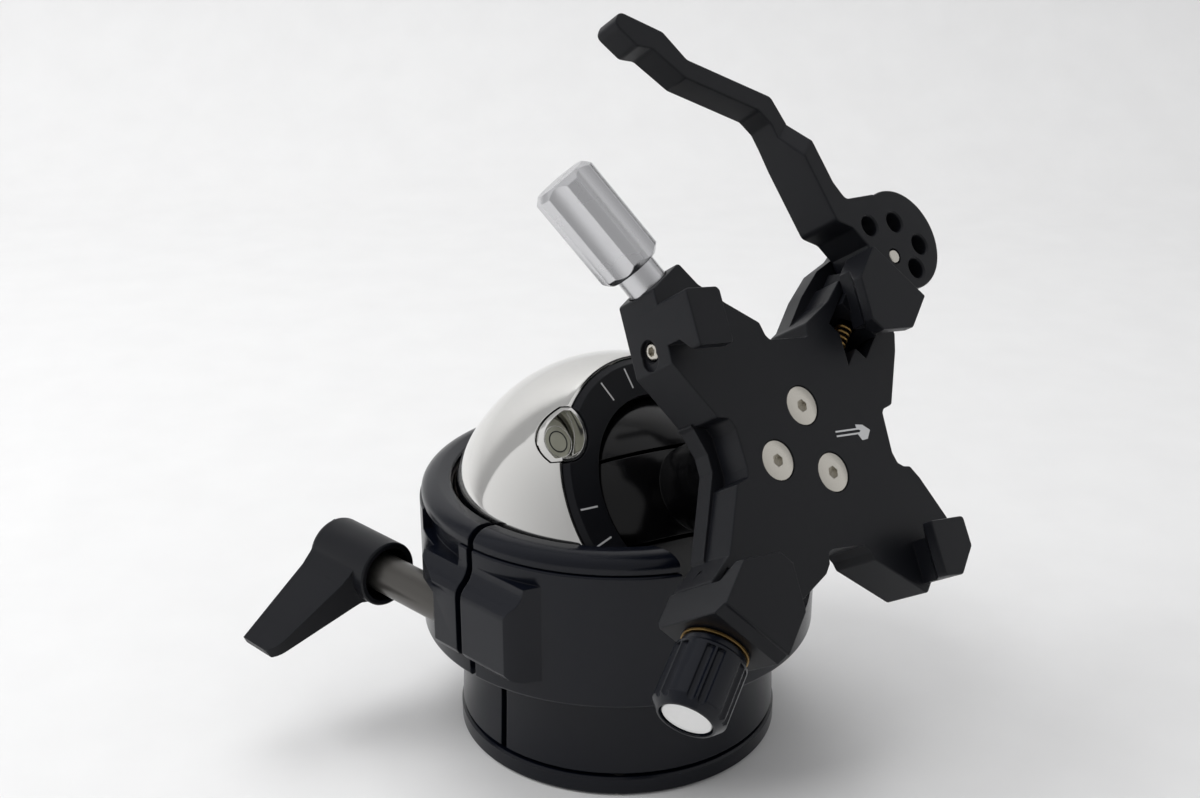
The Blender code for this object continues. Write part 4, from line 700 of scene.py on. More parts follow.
@dataclass
class Base:
    """Foot, housing, top ring and seats. The ball is clamped when the slit closes."""

    foot_radius: float = 31.3 * MM
    foot_height: float = 3.7 * MM
    foot_edge: float = 0.4 * MM
    spigot_top: float = 8.5 * MM
    bush_hole: float = 8.3 * MM
    bush_flange: float = 10.3 * MM
    bush_ledge: float = 6.5 * MM
    screw: Screw = Screw(2.2 * MM, 1.2 * MM, 1.2 * MM, 9.0 * MM, 0.92 * MM, 0.77 * MM)
    screw_circle: float = 28.7 * MM
    screw_play: float = 0.25 * MM
    base_radius: float = 31.0 * MM
    base_bottom: float = 4.2 * MM
    base_edge: float = 0.4 * MM
    waist: float = 30.6 * MM
    waist_height: float = 15.0 * MM
    bore: float = 26.8 * MM
    drum: float = 38.0 * MM
    drum_bottom: float = 22.7 * MM
    drum_top: float = 48.6 * MM
    drum_edge: float = 0.8 * MM
    drum_rim: float = 0.4 * MM
    drum_fillet: float = 1.3 * MM
    ball_play: float = 0.8 * MM
    counterbore: float = 35.6 * MM
    counterbore_floor: float = 44.2 * MM
    ring_top: float = 52.0 * MM
    ring_bottom: float = 48.9 * MM
    ring_radius: float = 37.6 * MM
    ring_edge: float = 3.4 * MM
    ring_drop: float = 2.3 * MM
    skirt_outer: float = 35.3 * MM
    skirt_inner: float = 34.0 * MM
    skirt_bottom: float = 46.6 * MM
    lip: float = 31.95 * MM
    lip_bottom: float = 50.4 * MM
    lip_edge: float = 0.3 * MM
    seat_outer: float = 33.7 * MM
    seat_bottom: float = 44.5 * MM
    seat_top: float = 50.1 * MM
    slit_half: float = 0.75 * MM
    slit_start: float = 22.0 * MM
    slit_end: float = 48.0 * MM
    sky: float = 60.0 * MM
    notch_turn: float = math.radians(-44.0)
    notch_half: float = 18.9 * MM
    notch_bottom: float = 29.5 * MM
    notch_corner: float = 8.0 * MM
    notch_start: float = 22.0 * MM
    notch_end: float = 46.0 * MM
    band: tuple[float, float] = (math.radians(-4.5), math.radians(-30.0))
    band_depth: float = 1.9 * MM
    band_bottom: float = 44.4 * MM
    band_over: float = 0.15 * MM
    shaft_out: float = 35.8 * MM
    shaft_height: float = 33.0 * MM
    shaft_bore: float = 4.0 * MM
    shaft_start: float = 8.4 * MM
    shaft_end: float = 33.0 * MM
    thread_bore: float = 2.75 * MM
    thread_start: float = -12.5 * MM
    thread_end: float = 20.0 * MM

    def build(self) -> None:
        """Makes every piece of the base."""
        self.build_foot()
        self.build_housing()
        self.build_ring()
        self.build_seat()

    def shaft_place(self) -> Matrix:
        """The clamp screw's axis, with Z out of the lug's left end and 0 at the slit."""
        x, z = self.shaft_out, self.shaft_height
        return SLIT_PLACE @ Matrix(((1, 0, 0, x), (0, 0, -1, 0), (0, 1, 0, z), (0, 0, 0, 1)))

    def slit(self, low: float) -> Form:
        """The sawn slit, from a height upwards."""
        near, far = (self.slit_start, -self.slit_half, low), (self.slit_end, self.slit_half, self.sky)
        return Form.block("slit", near, far, SLIT_PLACE)

    def notch(self) -> Form:
        """The U-shaped drop notch, cut from the side.

        Returns:
            The cutter.
        """
        side = turn(self.notch_turn) @ Matrix(((0, 0, 1, 0), (0, 1, 0, 0), (-1, 0, 0, 0), (0, 0, 0, 1)))
        low, top, half = self.notch_bottom, self.sky, self.notch_half
        outline = [(-low, -half), (-low, half), (-top, half), (-top, -half)]
        outline = rounded(outline, self.notch_corner, only=(0, 1))
        return Form.prism("notch", outline, self.notch_start, self.notch_end, side)

    def build_foot(self) -> None:
        """The round foot with its broken edges and its screws; the bush in it stays as it is."""
        soft, spigot, top = self.foot_edge, self.bore - GAP, self.foot_height
        profile = [
            (self.bush_flange, self.spigot_top), (spigot, self.spigot_top), (spigot, top),
            (self.foot_radius - soft, top), (self.foot_radius, top - soft), (self.foot_radius, soft),
            (self.foot_radius - soft, 0.0), (self.bush_hole, 0.0), (self.bush_hole, self.bush_ledge),
            (self.bush_flange, self.bush_ledge),
        ]
        foot = Form.turned("foot", profile, Matrix(), LARGE, ring=True)
        for i, (x, y) in enumerate(circle(self.screw_circle, 4)):
            spot = shift(x, y) @ turn(math.pi, "X")
            foot.cut(self.screw.form("foot_hole", spot, self.screw_play))
            screw = self.screw.bright(f"foot_screw_bright_{i}", spot)
            screw.dress(STAINLESS, Body.ROOT, (f"foot_screw_{i + 1}",), "stainless")
        foot.dress(DRUM_BLACK, Body.ROOT, ("foot_plate",), "black_anodised")

    def housing_profile(self) -> Outline:
        """Drum, waist and base outside; bore, hollow sphere and seat shoulder inside.

        Returns:
            (radius, height) points.
        """
        rim, edge, fillet = self.drum_rim, self.drum_edge, self.drum_fillet
        top, low, bottom = self.drum_top, self.drum_bottom, self.base_bottom
        hollow = BALL + self.ball_play
        start = math.pi - math.asin(self.bore / hollow)
        return [
            (self.counterbore, top),
            *quarter((self.drum - rim, top - rim), rim, rim, 6),
            *quarter((self.drum - edge, low + edge), edge, -edge, 6, back=True),
            *quarter((self.waist + fillet, low - fillet), -fillet, fillet, 7),
            (self.waist, self.waist_height),
            (self.base_radius, bottom + self.base_edge),
            (self.base_radius - self.base_edge, bottom),
            (self.bore, bottom),
            *arc(hollow, start, math.pi / 2, BALL_HEIGHT),
            (hollow, self.counterbore_floor),
            (self.counterbore, self.counterbore_floor),
        ]

    def band_slot(self) -> Form:
        """The dark recess under the top ring, left of the slit: a ring's sector.

        Returns:
            The cutter.
        """
        turns = np.linspace(*self.band, 24)
        inner, outer = self.drum - self.band_depth, self.drum + REACH
        sector = [(inner * math.cos(a), inner * math.sin(a)) for a in turns]
        sector += [(outer * math.cos(a), outer * math.sin(a)) for a in turns[::-1]]
        top = self.drum_top + self.band_over
        return Form.prism("band_slot", sector, self.band_bottom, top, SLIT_PLACE)

    def build_housing(self) -> None:
        """Turned, then milled: lug on, bores, slit and notch out."""
        housing = Form.turned("split_housing", self.housing_profile(), Matrix(), LARGE, ring=True)
        housing.join(Lug().form())
        shaft = self.shaft_place()
        housing.cut(
            self.band_slot(),
            Form.rod("thread_bore", self.thread_bore, self.thread_start, self.thread_end, shaft),
            Form.rod("shaft_bore", self.shaft_bore, self.shaft_start, self.shaft_end, shaft, MEDIUM),
            self.slit(-REACH),
            self.notch(),
        )
        radius, depth = self.screw.shank + self.screw_play, self.screw.length + GAP
        for x, y in circle(self.screw_circle, 4):
            housing.cut(Form.rod("tap", radius, 0.0, depth, shift(x, y)))
        housing.dress(DRUM_BLACK, Body.ROOT, ("housing",), "black_anodised")

    def build_ring(self) -> None:
        """The ring that holds the ball in, with its lip and skirt."""
        middle = (self.ring_radius - self.ring_edge, self.ring_top - self.ring_drop)
        soft = self.lip_edge
        profile = [
            (self.lip, self.ring_top - 2 * soft), (self.lip + soft, self.ring_top - soft),
            *quarter(middle, self.ring_edge, self.ring_drop, 14),
            (self.ring_radius, self.ring_bottom), (self.skirt_outer, self.ring_bottom),
            (self.skirt_outer, self.skirt_bottom), (self.skirt_inner, self.skirt_bottom),
            (self.skirt_inner, self.lip_bottom), (self.lip, self.lip_bottom),
        ]
        ring = Form.turned("retaining_ring", profile, Matrix(), LARGE, ring=True)
        ring.cut(self.slit(self.drum_top), self.notch())
        ring.dress(DRUM_BLACK, Body.ROOT, ("top_ring",), "black_anodised")

    def build_seat(self) -> None:
        """The slide ring over the ball, which shows as a thin line inside the lip."""
        radius, low, high = BALL + GAP, self.seat_bottom, self.seat_top
        start, end = (math.acos((height - BALL_HEIGHT) / radius) for height in (low, high))
        profile = [(self.seat_outer, high), (self.seat_outer, low), *arc(radius, start, end, BALL_HEIGHT)]
        seat = Form.turned("slide_ring", profile, Matrix(), LARGE, ring=True)
        seat.cut(self.notch()).dress(SLIDE, Body.ROOT, ("upper_seat",), "slide_plastic")


@dataclass
class MainLever:
    """The clamp screw's shaft with its hub and blade.

    Attributes:
        place: The screw's axis, with Z toward the hub.
        side_shares: The blade seen along the shaft, in shares of the hub's radius.
        plan_shares: The blade seen from above, from the hub's end, in shares of the hub's radius.
    """

    place: Matrix
    shaft: float = 3.75 * MM
    shaft_end: float = 38.7 * MM
    shoulder: float = 8.7 * MM
    thread: float = 2.5 * MM
    thread_end: float = -12.2 * MM
    soft: float = 0.3 * MM
    hole: float = 2.55 * MM
    hole_depth: float = 5.3 * MM
    hub: float = 6.35 * MM
    hub_start: float = 26.7 * MM
    hub_end: float = 43.8 * MM
    hub_edge: float = 1.5 * MM
    hub_bore: float = 5.25 * MM
    web: float = 3.0 * MM
    side_shares: Table = (
        (0.0, 0.98), (0.35, 0.9), (0.72, 0.62), (1.0, 0.26), (1.34, -0.06), (3.7, -1.6), (3.6, -1.82),
        (0.75, -0.82), (0.0, -0.92),
    )
    plan_shares: Table = ((0.0, -0.1), (0.9, -0.16), (3.7, -0.3), (3.7, -1.72), (0.95, -2.25), (0.0, -2.5))
    neck_round: float = 2.6 * MM
    tip_round: float = 4.0 * MM
    blade_edge: float = 0.35 * MM
    screw_head: float = 4.0 * MM
    screw_crown: Table = ((3.6, 2.25), (3.88, 2.13), (4.0, 1.85), (4.0, 0.25))
    screw_seat: float = 2.6 * MM
    screw_shank: float = 2.3 * MM
    screw_depth: float = 5.0 * MM
    screw_socket: float = 1.7 * MM
    socket_depth: float = 1.1 * MM

    def build(self) -> None:
        """Makes shaft, handle and screw."""
        end, soft, floor = self.shaft_end, self.soft, self.shaft_end - self.hole_depth
        profile = [
            (0.0, floor), (self.hole, floor), (self.hole, end), (self.shaft - soft, end),
            (self.shaft, end - soft), (self.shaft, self.shoulder), (self.thread, self.shoulder),
            (self.thread, self.thread_end + soft), (self.thread - soft, self.thread_end),
            (0.0, self.thread_end),
        ]
        shaft = Form.turned("lever_shaft_turned", profile, self.place)
        shaft.dress(DARK_STEEL, Body.LEVER, ("lever_shaft",), "dark_steel")
        self.build_handle()
        self.build_screw()

    def build_handle(self) -> None:
        """The hub with its rounded end, and the blade that grows out of it."""
        edge, soft, start, end = self.hub_edge, self.soft, self.hub_start, self.hub_end
        profile = [
            (0.0, end), *quarter((self.hub - edge, end - edge), edge, edge, 8), (self.hub, start + soft),
            (self.hub - soft, start), (0.0, start),
        ]
        handle = Form.turned("lever_handle_milled", profile, self.place)
        side = rounded(scaled(self.side_shares, self.hub), self.neck_round, only=(1, 2, 3, 4))
        blade = Form.prism("blade", side, start, end, self.place)
        plan = [(x, y + end) for x, y in scaled(self.plan_shares, self.hub)]
        plan = rounded(plan, self.tip_round, only=(3,))
        blade.keep(Form.prism("plan", plan, -BALL, BALL, self.place @ UPRIGHT))
        handle.join(blade.bevel(self.blade_edge, 2, 40))
        web = self.shaft_end + GAP
        seat = self.shaft_end + self.screw_seat
        handle.cut(
            Form.rod("bore", self.hub_bore, start - REACH, web, self.place, MEDIUM),
            Form.rod("hole", self.hole, web - REACH, web + self.web, self.place),
            Form.rod("seat", self.screw_head + GAP, seat, end + REACH, self.place, MEDIUM),
        )
        handle.dress(BLACK, Body.LEVER, ("lever_handle",), "black_anodised")

    def build_screw(self) -> None:
        """The screw that holds the handle, with a low rounded head and a socket."""
        seat, low = self.shaft_end + self.screw_seat, self.shaft_end - self.screw_depth
        crown = [(x, seat + y) for x, y in scaled(self.screw_crown, MM)]
        top = crown[0][1]
        profile = [(0.0, top), *crown, (self.screw_shank, crown[-1][1]), (self.screw_shank, low), (0.0, low)]
        screw = Form.turned("lever_screw_bright", profile, self.place, SMALL)
        socket = circle(self.screw_socket, HEX)
        screw.cut(Form.prism("hex", socket, top - self.socket_depth, top + REACH, self.place))
        screw.dress(STAINLESS, Body.LEVER, ("lever_screw",), "stainless")


@dataclass
class LevellingBall:
    """The polished ball, its index ring and the round level let into both. Z is the ring's axis."""

    place: Matrix = field(default_factory=lambda: RING_PLACE)
    rim: float = 18.1 * MM
    rim_edge: float = 0.12 * MM
    rim_turn: float = 0.006
    inner: float = 25.3 * MM
    seat: float = 26.5 * MM
    ring_top: float = 18.79 * MM
    ring_bottom: float = 14.5 * MM
    ring_inner: float = 18.8 * MM
    ring_outer: float = 26.2 * MM
    chamfer_across: float = 1.1 * MM
    chamfer_down: float = 0.75 * MM
    line_start: float = 20.6 * MM
    line_end: float = 24.6 * MM
    line_half: float = 0.16 * MM
    line_first: float = 32.3
    line_step: float = 16.4
    line_count: int = 9
    pocket_at: float = 27.2 * MM
    pocket: float = 5.9 * MM
    nose_at: float = 20.6 * MM
    nose: float = 8.9 * MM
    floor: float = 12.9 * MM
    cup_top: float = 18.5 * MM
    cup_wall: float = 0.6 * MM
    cup_sink: float = 0.1 * MM
    vial_at: float = 26.7 * MM
    vial: float = 4.1 * MM
    vial_rise: float = 0.8 * MM
    vial_height: float = 1.0 * MM
    vial_play: float = 0.1 * MM
    vial_edge: float = 0.2 * MM
    sight_at: float = 25.4 * MM
    bubble: float = 1.8 * MM
    bubble_line: float = 0.24 * MM
    sight: float = 2.9 * MM
    sight_line: float = 0.14 * MM
    sight_over: float = 0.04 * MM
    sight_under: float = 0.1 * MM

    def build(self) -> None:
        """Makes ball, ring, scale and level."""
        lip, low = math.acos(self.rim / BALL), self.ring_bottom - GAP
        profile = [
            *arc(self.inner, math.pi, math.pi / 2), (self.inner, low), (self.seat, low),
            (self.seat, self.rim), (BALL * math.sin(lip) - self.rim_edge, self.rim),
            *arc(BALL, lip + self.rim_turn, math.pi),
        ]
        ball = Form.turned("polished_ball", profile, self.place, LARGE)
        ball.cut(self.pocket_form(0.0, self.floor, BALL))
        ball.dress(MIRROR, Body.BALL, ("outer_ball",), "polished_ball")
        start, end = math.acos(self.ring_bottom / self.inner), math.asin(self.ring_inner / self.inner)
        profile = [
            (self.ring_inner, self.ring_top), (self.ring_outer - self.chamfer_across, self.ring_top),
            (self.ring_outer, self.ring_top - self.chamfer_down), (self.ring_outer, self.ring_bottom),
            *arc(self.inner, start, end),
        ]
        ring = Form.turned("scale_ring", profile, self.place, LARGE, ring=True)
        ring.cut(self.pocket_form(0.0, self.floor, BALL))
        ring.dress(BLACK, Body.BALL, ("index_ring",), "black_anodised")
        self.build_scale()
        self.build_level()

    def build_scale(self) -> None:
        """Lines printed on the ring: one flat bar, turned by each line's angle as a whole array."""
        right = self.line_first + self.line_step * np.arange(self.line_count)
        near, far, half = self.line_start, self.line_end, self.line_half
        flat = np.array([[near, -half], [far, -half], [far, half], [near, half]])
        turns = np.radians(np.concatenate((-right, right)))
        way = np.stack((np.cos(turns), np.sin(turns)), axis=1)
        side = np.stack((-np.sin(turns), np.cos(turns)), axis=1)
        corner = flat[None, :, :1] * way[:, None] + flat[None, :, 1:] * side[:, None]
        low = np.concatenate((corner, np.full((*corner.shape[:2], 1), self.ring_top - INK_BELOW)), axis=2)
        high = low + np.array([0, 0, INK_BELOW + INK_ABOVE])
        points = np.concatenate((low, high), axis=1).reshape(-1, 3)
        box = np.array([[3, 2, 1, 0], [4, 5, 6, 7], [0, 1, 5, 4], [1, 2, 6, 5], [2, 3, 7, 6], [3, 0, 4, 7]])
        faces = (np.arange(len(turns))[:, None, None] * 8 + box).reshape(-1, 4).tolist()
        Form("ring_scale", points, faces, self.place).dress(PRINT, Body.BALL)

    def pocket_form(self, inset: float, low: float, high: float, name: str = "pocket") -> Form:
        """The level's pocket: what a round cutter and a wider one, nearer the axis, have in common.

        Args:
            inset: How much smaller it is all round.
            low: Its floor.
            high: Its top.
            name: The object's name.

        Returns:
            The form.
        """
        form = Form.rod(name, self.pocket - inset, low, high, self.place @ shift(self.pocket_at), MEDIUM)
        nose = self.place @ shift(self.nose_at)
        return form.keep(Form.rod("nose", self.nose - inset, low - REACH, high + REACH, nose, LARGE))

    def build_level(self) -> None:
        """The bright cup, cut to the ball's curve, the vial in it and the rings on the vial."""
        wall, floor = GAP + self.cup_wall, self.floor + GAP
        cup = self.pocket_form(GAP, floor, self.cup_top, "bright_level_cup")
        cup.cut(self.pocket_form(wall, floor + self.cup_wall, BALL))
        cup.keep(Form.turned("trim", arc(BALL - self.cup_sink, 0.0, math.pi), self.place, LARGE))
        cup.dress(MIRROR, Body.BALL, ("level_cup",), "polished_ball")
        low = floor + self.vial_rise
        top = low + self.vial_height
        vial = Form.rod("level_vial_clear", self.vial, low, top, self.place @ shift(self.vial_at), MEDIUM)
        vial.keep(self.pocket_form(wall + self.vial_play, low - REACH, BALL)).bevel(self.vial_edge)
        vial.dress(SPIRIT, Body.BALL, ("level_vial",), "vial_acrylic")
        spot, over, under = self.place @ shift(self.sight_at), top + self.sight_over, top - self.sight_under
        for name, radius, line, finish in (
            ("bubble_rim", self.bubble, self.bubble_line, SIGHT),
            ("sight_ring", self.sight, self.sight_line, MIRROR),
        ):
            flat = [(radius, over), (radius + line, over), (radius + line, under), (radius, under)]
            Form.turned(name, flat, spot, MEDIUM, ring=True).dress(finish, Body.BALL)


DECK = 53.17 * MM
SLAB = 9.66 * MM
LEDGE = DECK - 6.0 * MM
LIP = 17.0 * MM
HOOK = 7.38 * MM
# Rounding of milled corners and width of broken edges on the clamp.
CORNER = 0.8 * MM
EDGE = 0.3 * MM
# The deck's three screws stand on a circle.
SCREW_CIRCLE = 7.19 * MM
SCREW_TURN = math.radians(74.0)
DECK_SCREW = Screw(3.45 * MM, 2.0 * MM, 1.5 * MM, 14.6 * MM, 1.15 * MM, 1.1 * MM)


def screw_spots() -> Outline:
    """Where the deck's screws stand."""
    return circle(SCREW_CIRCLE, 3, SCREW_TURN)


@dataclass
class InnerBall:
    """Two cheeks that pan in the polished ball, and the tilting slice with its neck.

    Attributes:
        down_shares: How far down the flare each width comes, in shares of its height.
        out_shares: Those widths over the neck's, in shares of the flange's overhang.
    """

    radius: float = 25.0 * MM
    slice_half: float = 7.8 * MM
    seam: float = 0.7 * MM
    axle_hole: float = 2.75 * MM
    axle_depth: float = 20.0 * MM
    bush: float = 4.25 * MM
    neck: float = 8.1 * MM
    neck_start: float = 15.5 * MM
    neck_top: float = 43.21 * MM
    flange: float = 12.8 * MM
    flange_edge: float = 0.6 * MM
    down_shares: tuple[float, ...] = (0.0, 0.2, 0.36, 0.5, 0.6, 0.75, 1.0)
    out_shares: tuple[float, ...] = (0.93, 0.87, 0.58, 0.26, 0.08, 0.02, 0.0)
    tap: float = 1.8 * MM
    tap_start: float = 38.0 * MM
    tap_end: float = 44.0 * MM

    def build(self) -> None:
        """Makes cheeks, slice and neck."""
        axle = CLAMP_PLACE @ turn(-math.pi / 2, "X")
        flat = self.slice_half + self.seam
        hole, depth = self.axle_hole, self.axle_depth
        edge = math.acos(flat / self.radius)
        profile = [*arc(self.radius, 0.0, edge), (hole, flat), (hole, depth), (0.0, depth)]
        for name, side in (("cheek_front", 0.0), ("cheek_back", math.pi)):
            form = Form.turned(name + "_fine", profile, axle @ turn(side, "X"), LARGE)
            form.dress(BALL_BLACK, Body.CHEEKS, (name,), "black_anodised")
        self.build_slice(axle)

    def build_slice(self, axle: Matrix) -> None:
        """The slice is turned about the axle, and the neck with its flare about the clamp's axis.

        Args:
            axle: The tilt axle's place.
        """
        edge, half = math.acos(self.slice_half / self.radius), self.slice_half
        profile = [(self.bush, half), *arc(self.radius, edge, math.pi - edge), (self.bush, -half)]
        ball = Form.turned("tilt_ball_fine", profile, axle, LARGE, ring=True)
        down = np.linspace(0.04, 1.0, 24)
        out = np.interp(down, self.down_shares, self.out_shares)
        top, soft = self.neck_top, self.flange_edge
        radii = self.neck + (self.flange - self.neck) * out
        flare = list(zip(radii.tolist(), (top - (top - self.radius) * down).tolist()))
        profile = [
            (0.0, top), (self.flange - soft, top), (self.flange, top - soft), *flare,
            (self.neck, self.neck_start), (0.0, self.neck_start),
        ]
        ball.join(Form.turned("neck", profile, CLAMP_PLACE))
        for x, y in screw_spots():
            ball.cut(Form.rod("tap", self.tap, self.tap_start, self.tap_end, CLAMP_PLACE @ shift(x, y)))
        ball.dress(BALL_BLACK, Body.CLAMP, ("tilt_ball",), "black_anodised")


@dataclass
class Dovetail:
    """The way that a camera plate's dovetail takes between the lips, and the jaws' own tongues."""

    undercut: float = 2.4 * MM
    low: float = 3.0 * MM
    high: float = 5.4 * MM
    top: float = 14.0 * MM
    half_length: float = 55.0 * MM
    tongue_wide: float = 5.6 * MM
    tongue_narrow: float = 4.6 * MM
    tongue_step: float = 2.0 * MM
    tongue_over: float = 0.9 * MM

    def lips(self) -> list[Form]:
        """The room for a plate between the lips, along both ways that it can lie.

        Returns:
            One cutter for each way.
        """
        wide = LIP + self.undercut
        outline = [
            (-wide, -REACH), (wide, -REACH), (wide, self.low), (LIP, self.high), (LIP, self.top),
            (-LIP, self.top), (-LIP, self.high), (-wide, self.low),
        ]
        ways = [CLAMP_PLACE @ shift(z=DECK) @ turn(way) @ UPRIGHT for way in (0.0, math.pi / 2)]
        return [Form.prism("dovetail", outline, -self.half_length, self.half_length, way) for way in ways]

    def tongue(self, start: float, end: float, place: Matrix, channel: bool = False) -> Form:
        """A tongue along a jaw's diagonal, or the channel that it slides in.

        Args:
            start: Where it starts, from the clamp's axis.
            end: Where it ends.
            place: The diagonal, with X outwards.
            channel: Whether to make the channel, with its clearance.

        Returns:
            The form.
        """
        gap, over = (GAP, REACH) if channel else (0.0, self.tongue_over)
        low, step, top = LEDGE + GAP - gap, DECK - self.tongue_step, DECK + over
        wide, narrow = self.tongue_wide + gap, self.tongue_narrow + gap
        outline = [(-wide, low), (wide, low), (narrow, step), (narrow, top), (-narrow, top), (-narrow, step)]
        return Form.prism("tongue", outline, start, end, place @ along_x(0.0))


DOVETAIL = Dovetail()


@dataclass
class Clamp:
    """The X-shaped deck with its two fixed hooks, screws, spring and pins.

    Attributes:
        diagonal_b: The black knob's jaw's way, with X outwards.
        diagonal_c: The cam's jaw's way, with X outwards.
        deck_shares: The deck's outline at its top, in shares of the lips' half distance.
        strip_shares: The lower plate at its left edge, in the same shares.
        ear_shares: The lower plate under the cam, half of it, along the cam's diagonal.
        hook_a_shares: The hook by the bright knob.
        hook_d_shares: The hook across from it.
        arrow: The printed arrow's outline, in millimetres.
    """

    turn_b: float = math.radians(225.0)
    turn_c: float = math.radians(45.0)
    diagonal_b: Matrix = field(init=False)
    diagonal_c: Matrix = field(init=False)
    silver_turn: float = math.radians(124.0)
    silver_depth: float = 4.8 * MM
    stem_bore: tuple[float, float, float] = (3.9 * MM, 29.7 * MM, 45.0 * MM)
    stud_bore: tuple[float, float, float] = (2.75 * MM, 19.2 * MM, 30.3 * MM)
    channel_b: tuple[float, float] = (29.2 * MM, 47.0 * MM)
    channel_c_start: float = 24.6 * MM
    pin_at: float = 44.55 * MM
    pin: float = 1.25 * MM
    pin_bore: float = 1.5 * MM
    pin_top: float = 4.0 * MM
    pin_end: float = -9.36 * MM
    pin_edge: float = 0.15 * MM
    ear_radius: float = 5.5 * MM
    ear_turn: float = 0.38 * math.pi
    ear_rise: float = 0.15 * MM
    spring_depth: float = 3.0 * MM
    spring_bore: float = 2.1 * MM
    spring_room: tuple[float, float] = (20.4 * MM, 29.5 * MM)
    spring_ends: tuple[float, float] = (20.98 * MM, 28.92 * MM)
    spring_radius: float = 1.35 * MM
    spring_wire: float = 0.28 * MM
    spring_turns: float = 6.5
    stud_depth: float = 2.0 * MM
    stud: float = 1.5 * MM
    stud_hole: tuple[float, float, float] = (1.7 * MM, 24.3 * MM, 36.0 * MM)
    stud_start: float = 24.6 * MM
    stud_end: float = 48.2 * MM
    set_across: float = 19.85 * MM
    set_depth: float = 5.0 * MM
    set_radius: float = 1.5 * MM
    set_start: float = 17.7 * MM
    set_end: float = 23.7 * MM
    set_edge: float = 0.3 * MM
    set_socket: float = 0.85 * MM
    set_socket_depth: float = 1.1 * MM
    set_hole: tuple[float, float] = (1.75 * MM, 15.2 * MM)
    set_recess: tuple[float, float] = (1.95 * MM, 23.4 * MM)
    set_slot: float = -1.4 * MM
    wall_end: float = 30.0 * MM
    screw_sunk: float = 0.1 * MM
    sink_hole: Table = ((3.6, -0.25), (1.75, -2.25), (1.75, -15.0))
    deck_shares: Table = (
        (-1.435, 0.965), (-1.425, 1.706), (-1.024, 1.959), (-0.841, 1.735), (-0.547, 1.529),
        (-0.159, 1.3), (-0.12, 1.165), (-0.076, 1.118), (0.459, 1.106), (0.494, 1.259),
        (0.9, 1.475), (1.165, 1.705), (1.795, 1.075), (1.718, 0.865), (1.424, 0.3),
        (1.288, 0.265), (1.253, 0.224), (1.229, -0.2), (1.265, -0.312), (1.341, -0.359),
        (1.435, -0.371), (1.535, -0.506), (1.782, -0.976), (1.735, -1.112), (1.159, -1.688),
        (0.535, -1.241), (0.512, -1.159), (0.453, -1.076), (0.0, -1.053), (-0.065, -1.076),
        (-0.094, -1.188), (-0.176, -1.276), (-0.547, -1.453), (-1.127, -1.668),
        (-1.668, -1.127), (-1.347, -0.906), (-1.288, -0.8), (-1.018, -0.265), (-0.865, -0.224),
        (-0.841, -0.129), (-0.853, 0.265), (-0.906, 0.371), (-1.047, 0.394),
    )
    strip_shares: Table = (
        (-1.1, 0.42), (-1.06, 0.37), (-0.97, 0.112), (-0.97, -0.071), (-1.171, -0.488),
        (-1.365, -0.88), (-1.347, -0.97), (-0.6, -0.9), (-0.3, 0.0), (-0.6, 0.5),
    )
    ear_shares: Table = ((1.24, 0.5), (1.8, 0.515), (2.24, 0.47), (2.62, 0.32))
    hook_a_shares: Table = ((-1.43, 1.0), (-1.0, 1.0), (-1.0, 1.53), (-1.035, 1.565), (-1.43, 1.565))
    hook_d_shares: Table = ((1.0, -1.0), (1.5, -1.015), (1.506, -1.33), (1.257, -1.588), (1.0, -1.565))
    arrow: Table = (
        (8.1, 1.75), (13.4, 1.75), (13.4, 2.4), (15.1, 2.2), (16.7, 1.1), (15.5, -0.4), (14.1, -0.5),
        (13.4, 0.65), (8.1, 0.65), (8.1, 0.95), (13.9, 0.95), (14.3, 1.2), (13.9, 1.45), (8.1, 1.45),
    )

    def __post_init__(self) -> None:
        """Works out the diagonals' places."""
        self.diagonal_b, self.diagonal_c = CLAMP_PLACE @ turn(self.turn_b), CLAMP_PLACE @ turn(self.turn_c)

    def build(self) -> None:
        """Makes the deck and what is fixed to it."""
        self.build_deck()
        self.build_fixings()
        self.build_spring()
        self.build_arrow()

    def silver_line(self) -> Matrix:
        """The bright knob's axis, with Z outwards."""
        return CLAMP_PLACE @ turn(self.silver_turn) @ along_x(DECK - self.silver_depth)

    def stud_line(self) -> Matrix:
        """The black knob's axis, with Z outwards."""
        return self.diagonal_b @ along_x(DECK - self.stud_depth)

    def pin_place(self) -> Matrix:
        """The cam's pin at the deck's face, with the clamp's own X and Y."""
        return self.diagonal_c @ shift(self.pin_at, 0.0, DECK) @ turn(-self.turn_c)

    def spring_line(self) -> Matrix:
        """The spring's axis, with Z outwards."""
        return self.diagonal_c @ along_x(DECK - self.spring_depth)

    def set_line(self) -> Matrix:
        """The set screw's axis, square to the deck's left wall, with X down the wall."""
        y, z = self.set_across, DECK - self.set_depth
        return CLAMP_PLACE @ Matrix(((0, 0, -1, 0), (0, 1, 0, y), (1, 0, 0, z), (0, 0, 0, 1)))

    def ear(self) -> Form:
        """The lower plate under the cam, which holds its pin: straight sides and a round nose.

        Returns:
            The form.
        """
        side = scaled(self.ear_shares, LIP)
        turns = np.linspace(-self.ear_turn, self.ear_turn, 30)
        nose = [
            (self.pin_at + self.ear_radius * math.cos(a), self.ear_radius * math.sin(a)) for a in turns
        ]
        outline = [(x, -y) for x, y in side] + nose + side[::-1]
        return Form.prism("ear", outline, DECK - SLAB + self.ear_rise, LEDGE, self.diagonal_c)

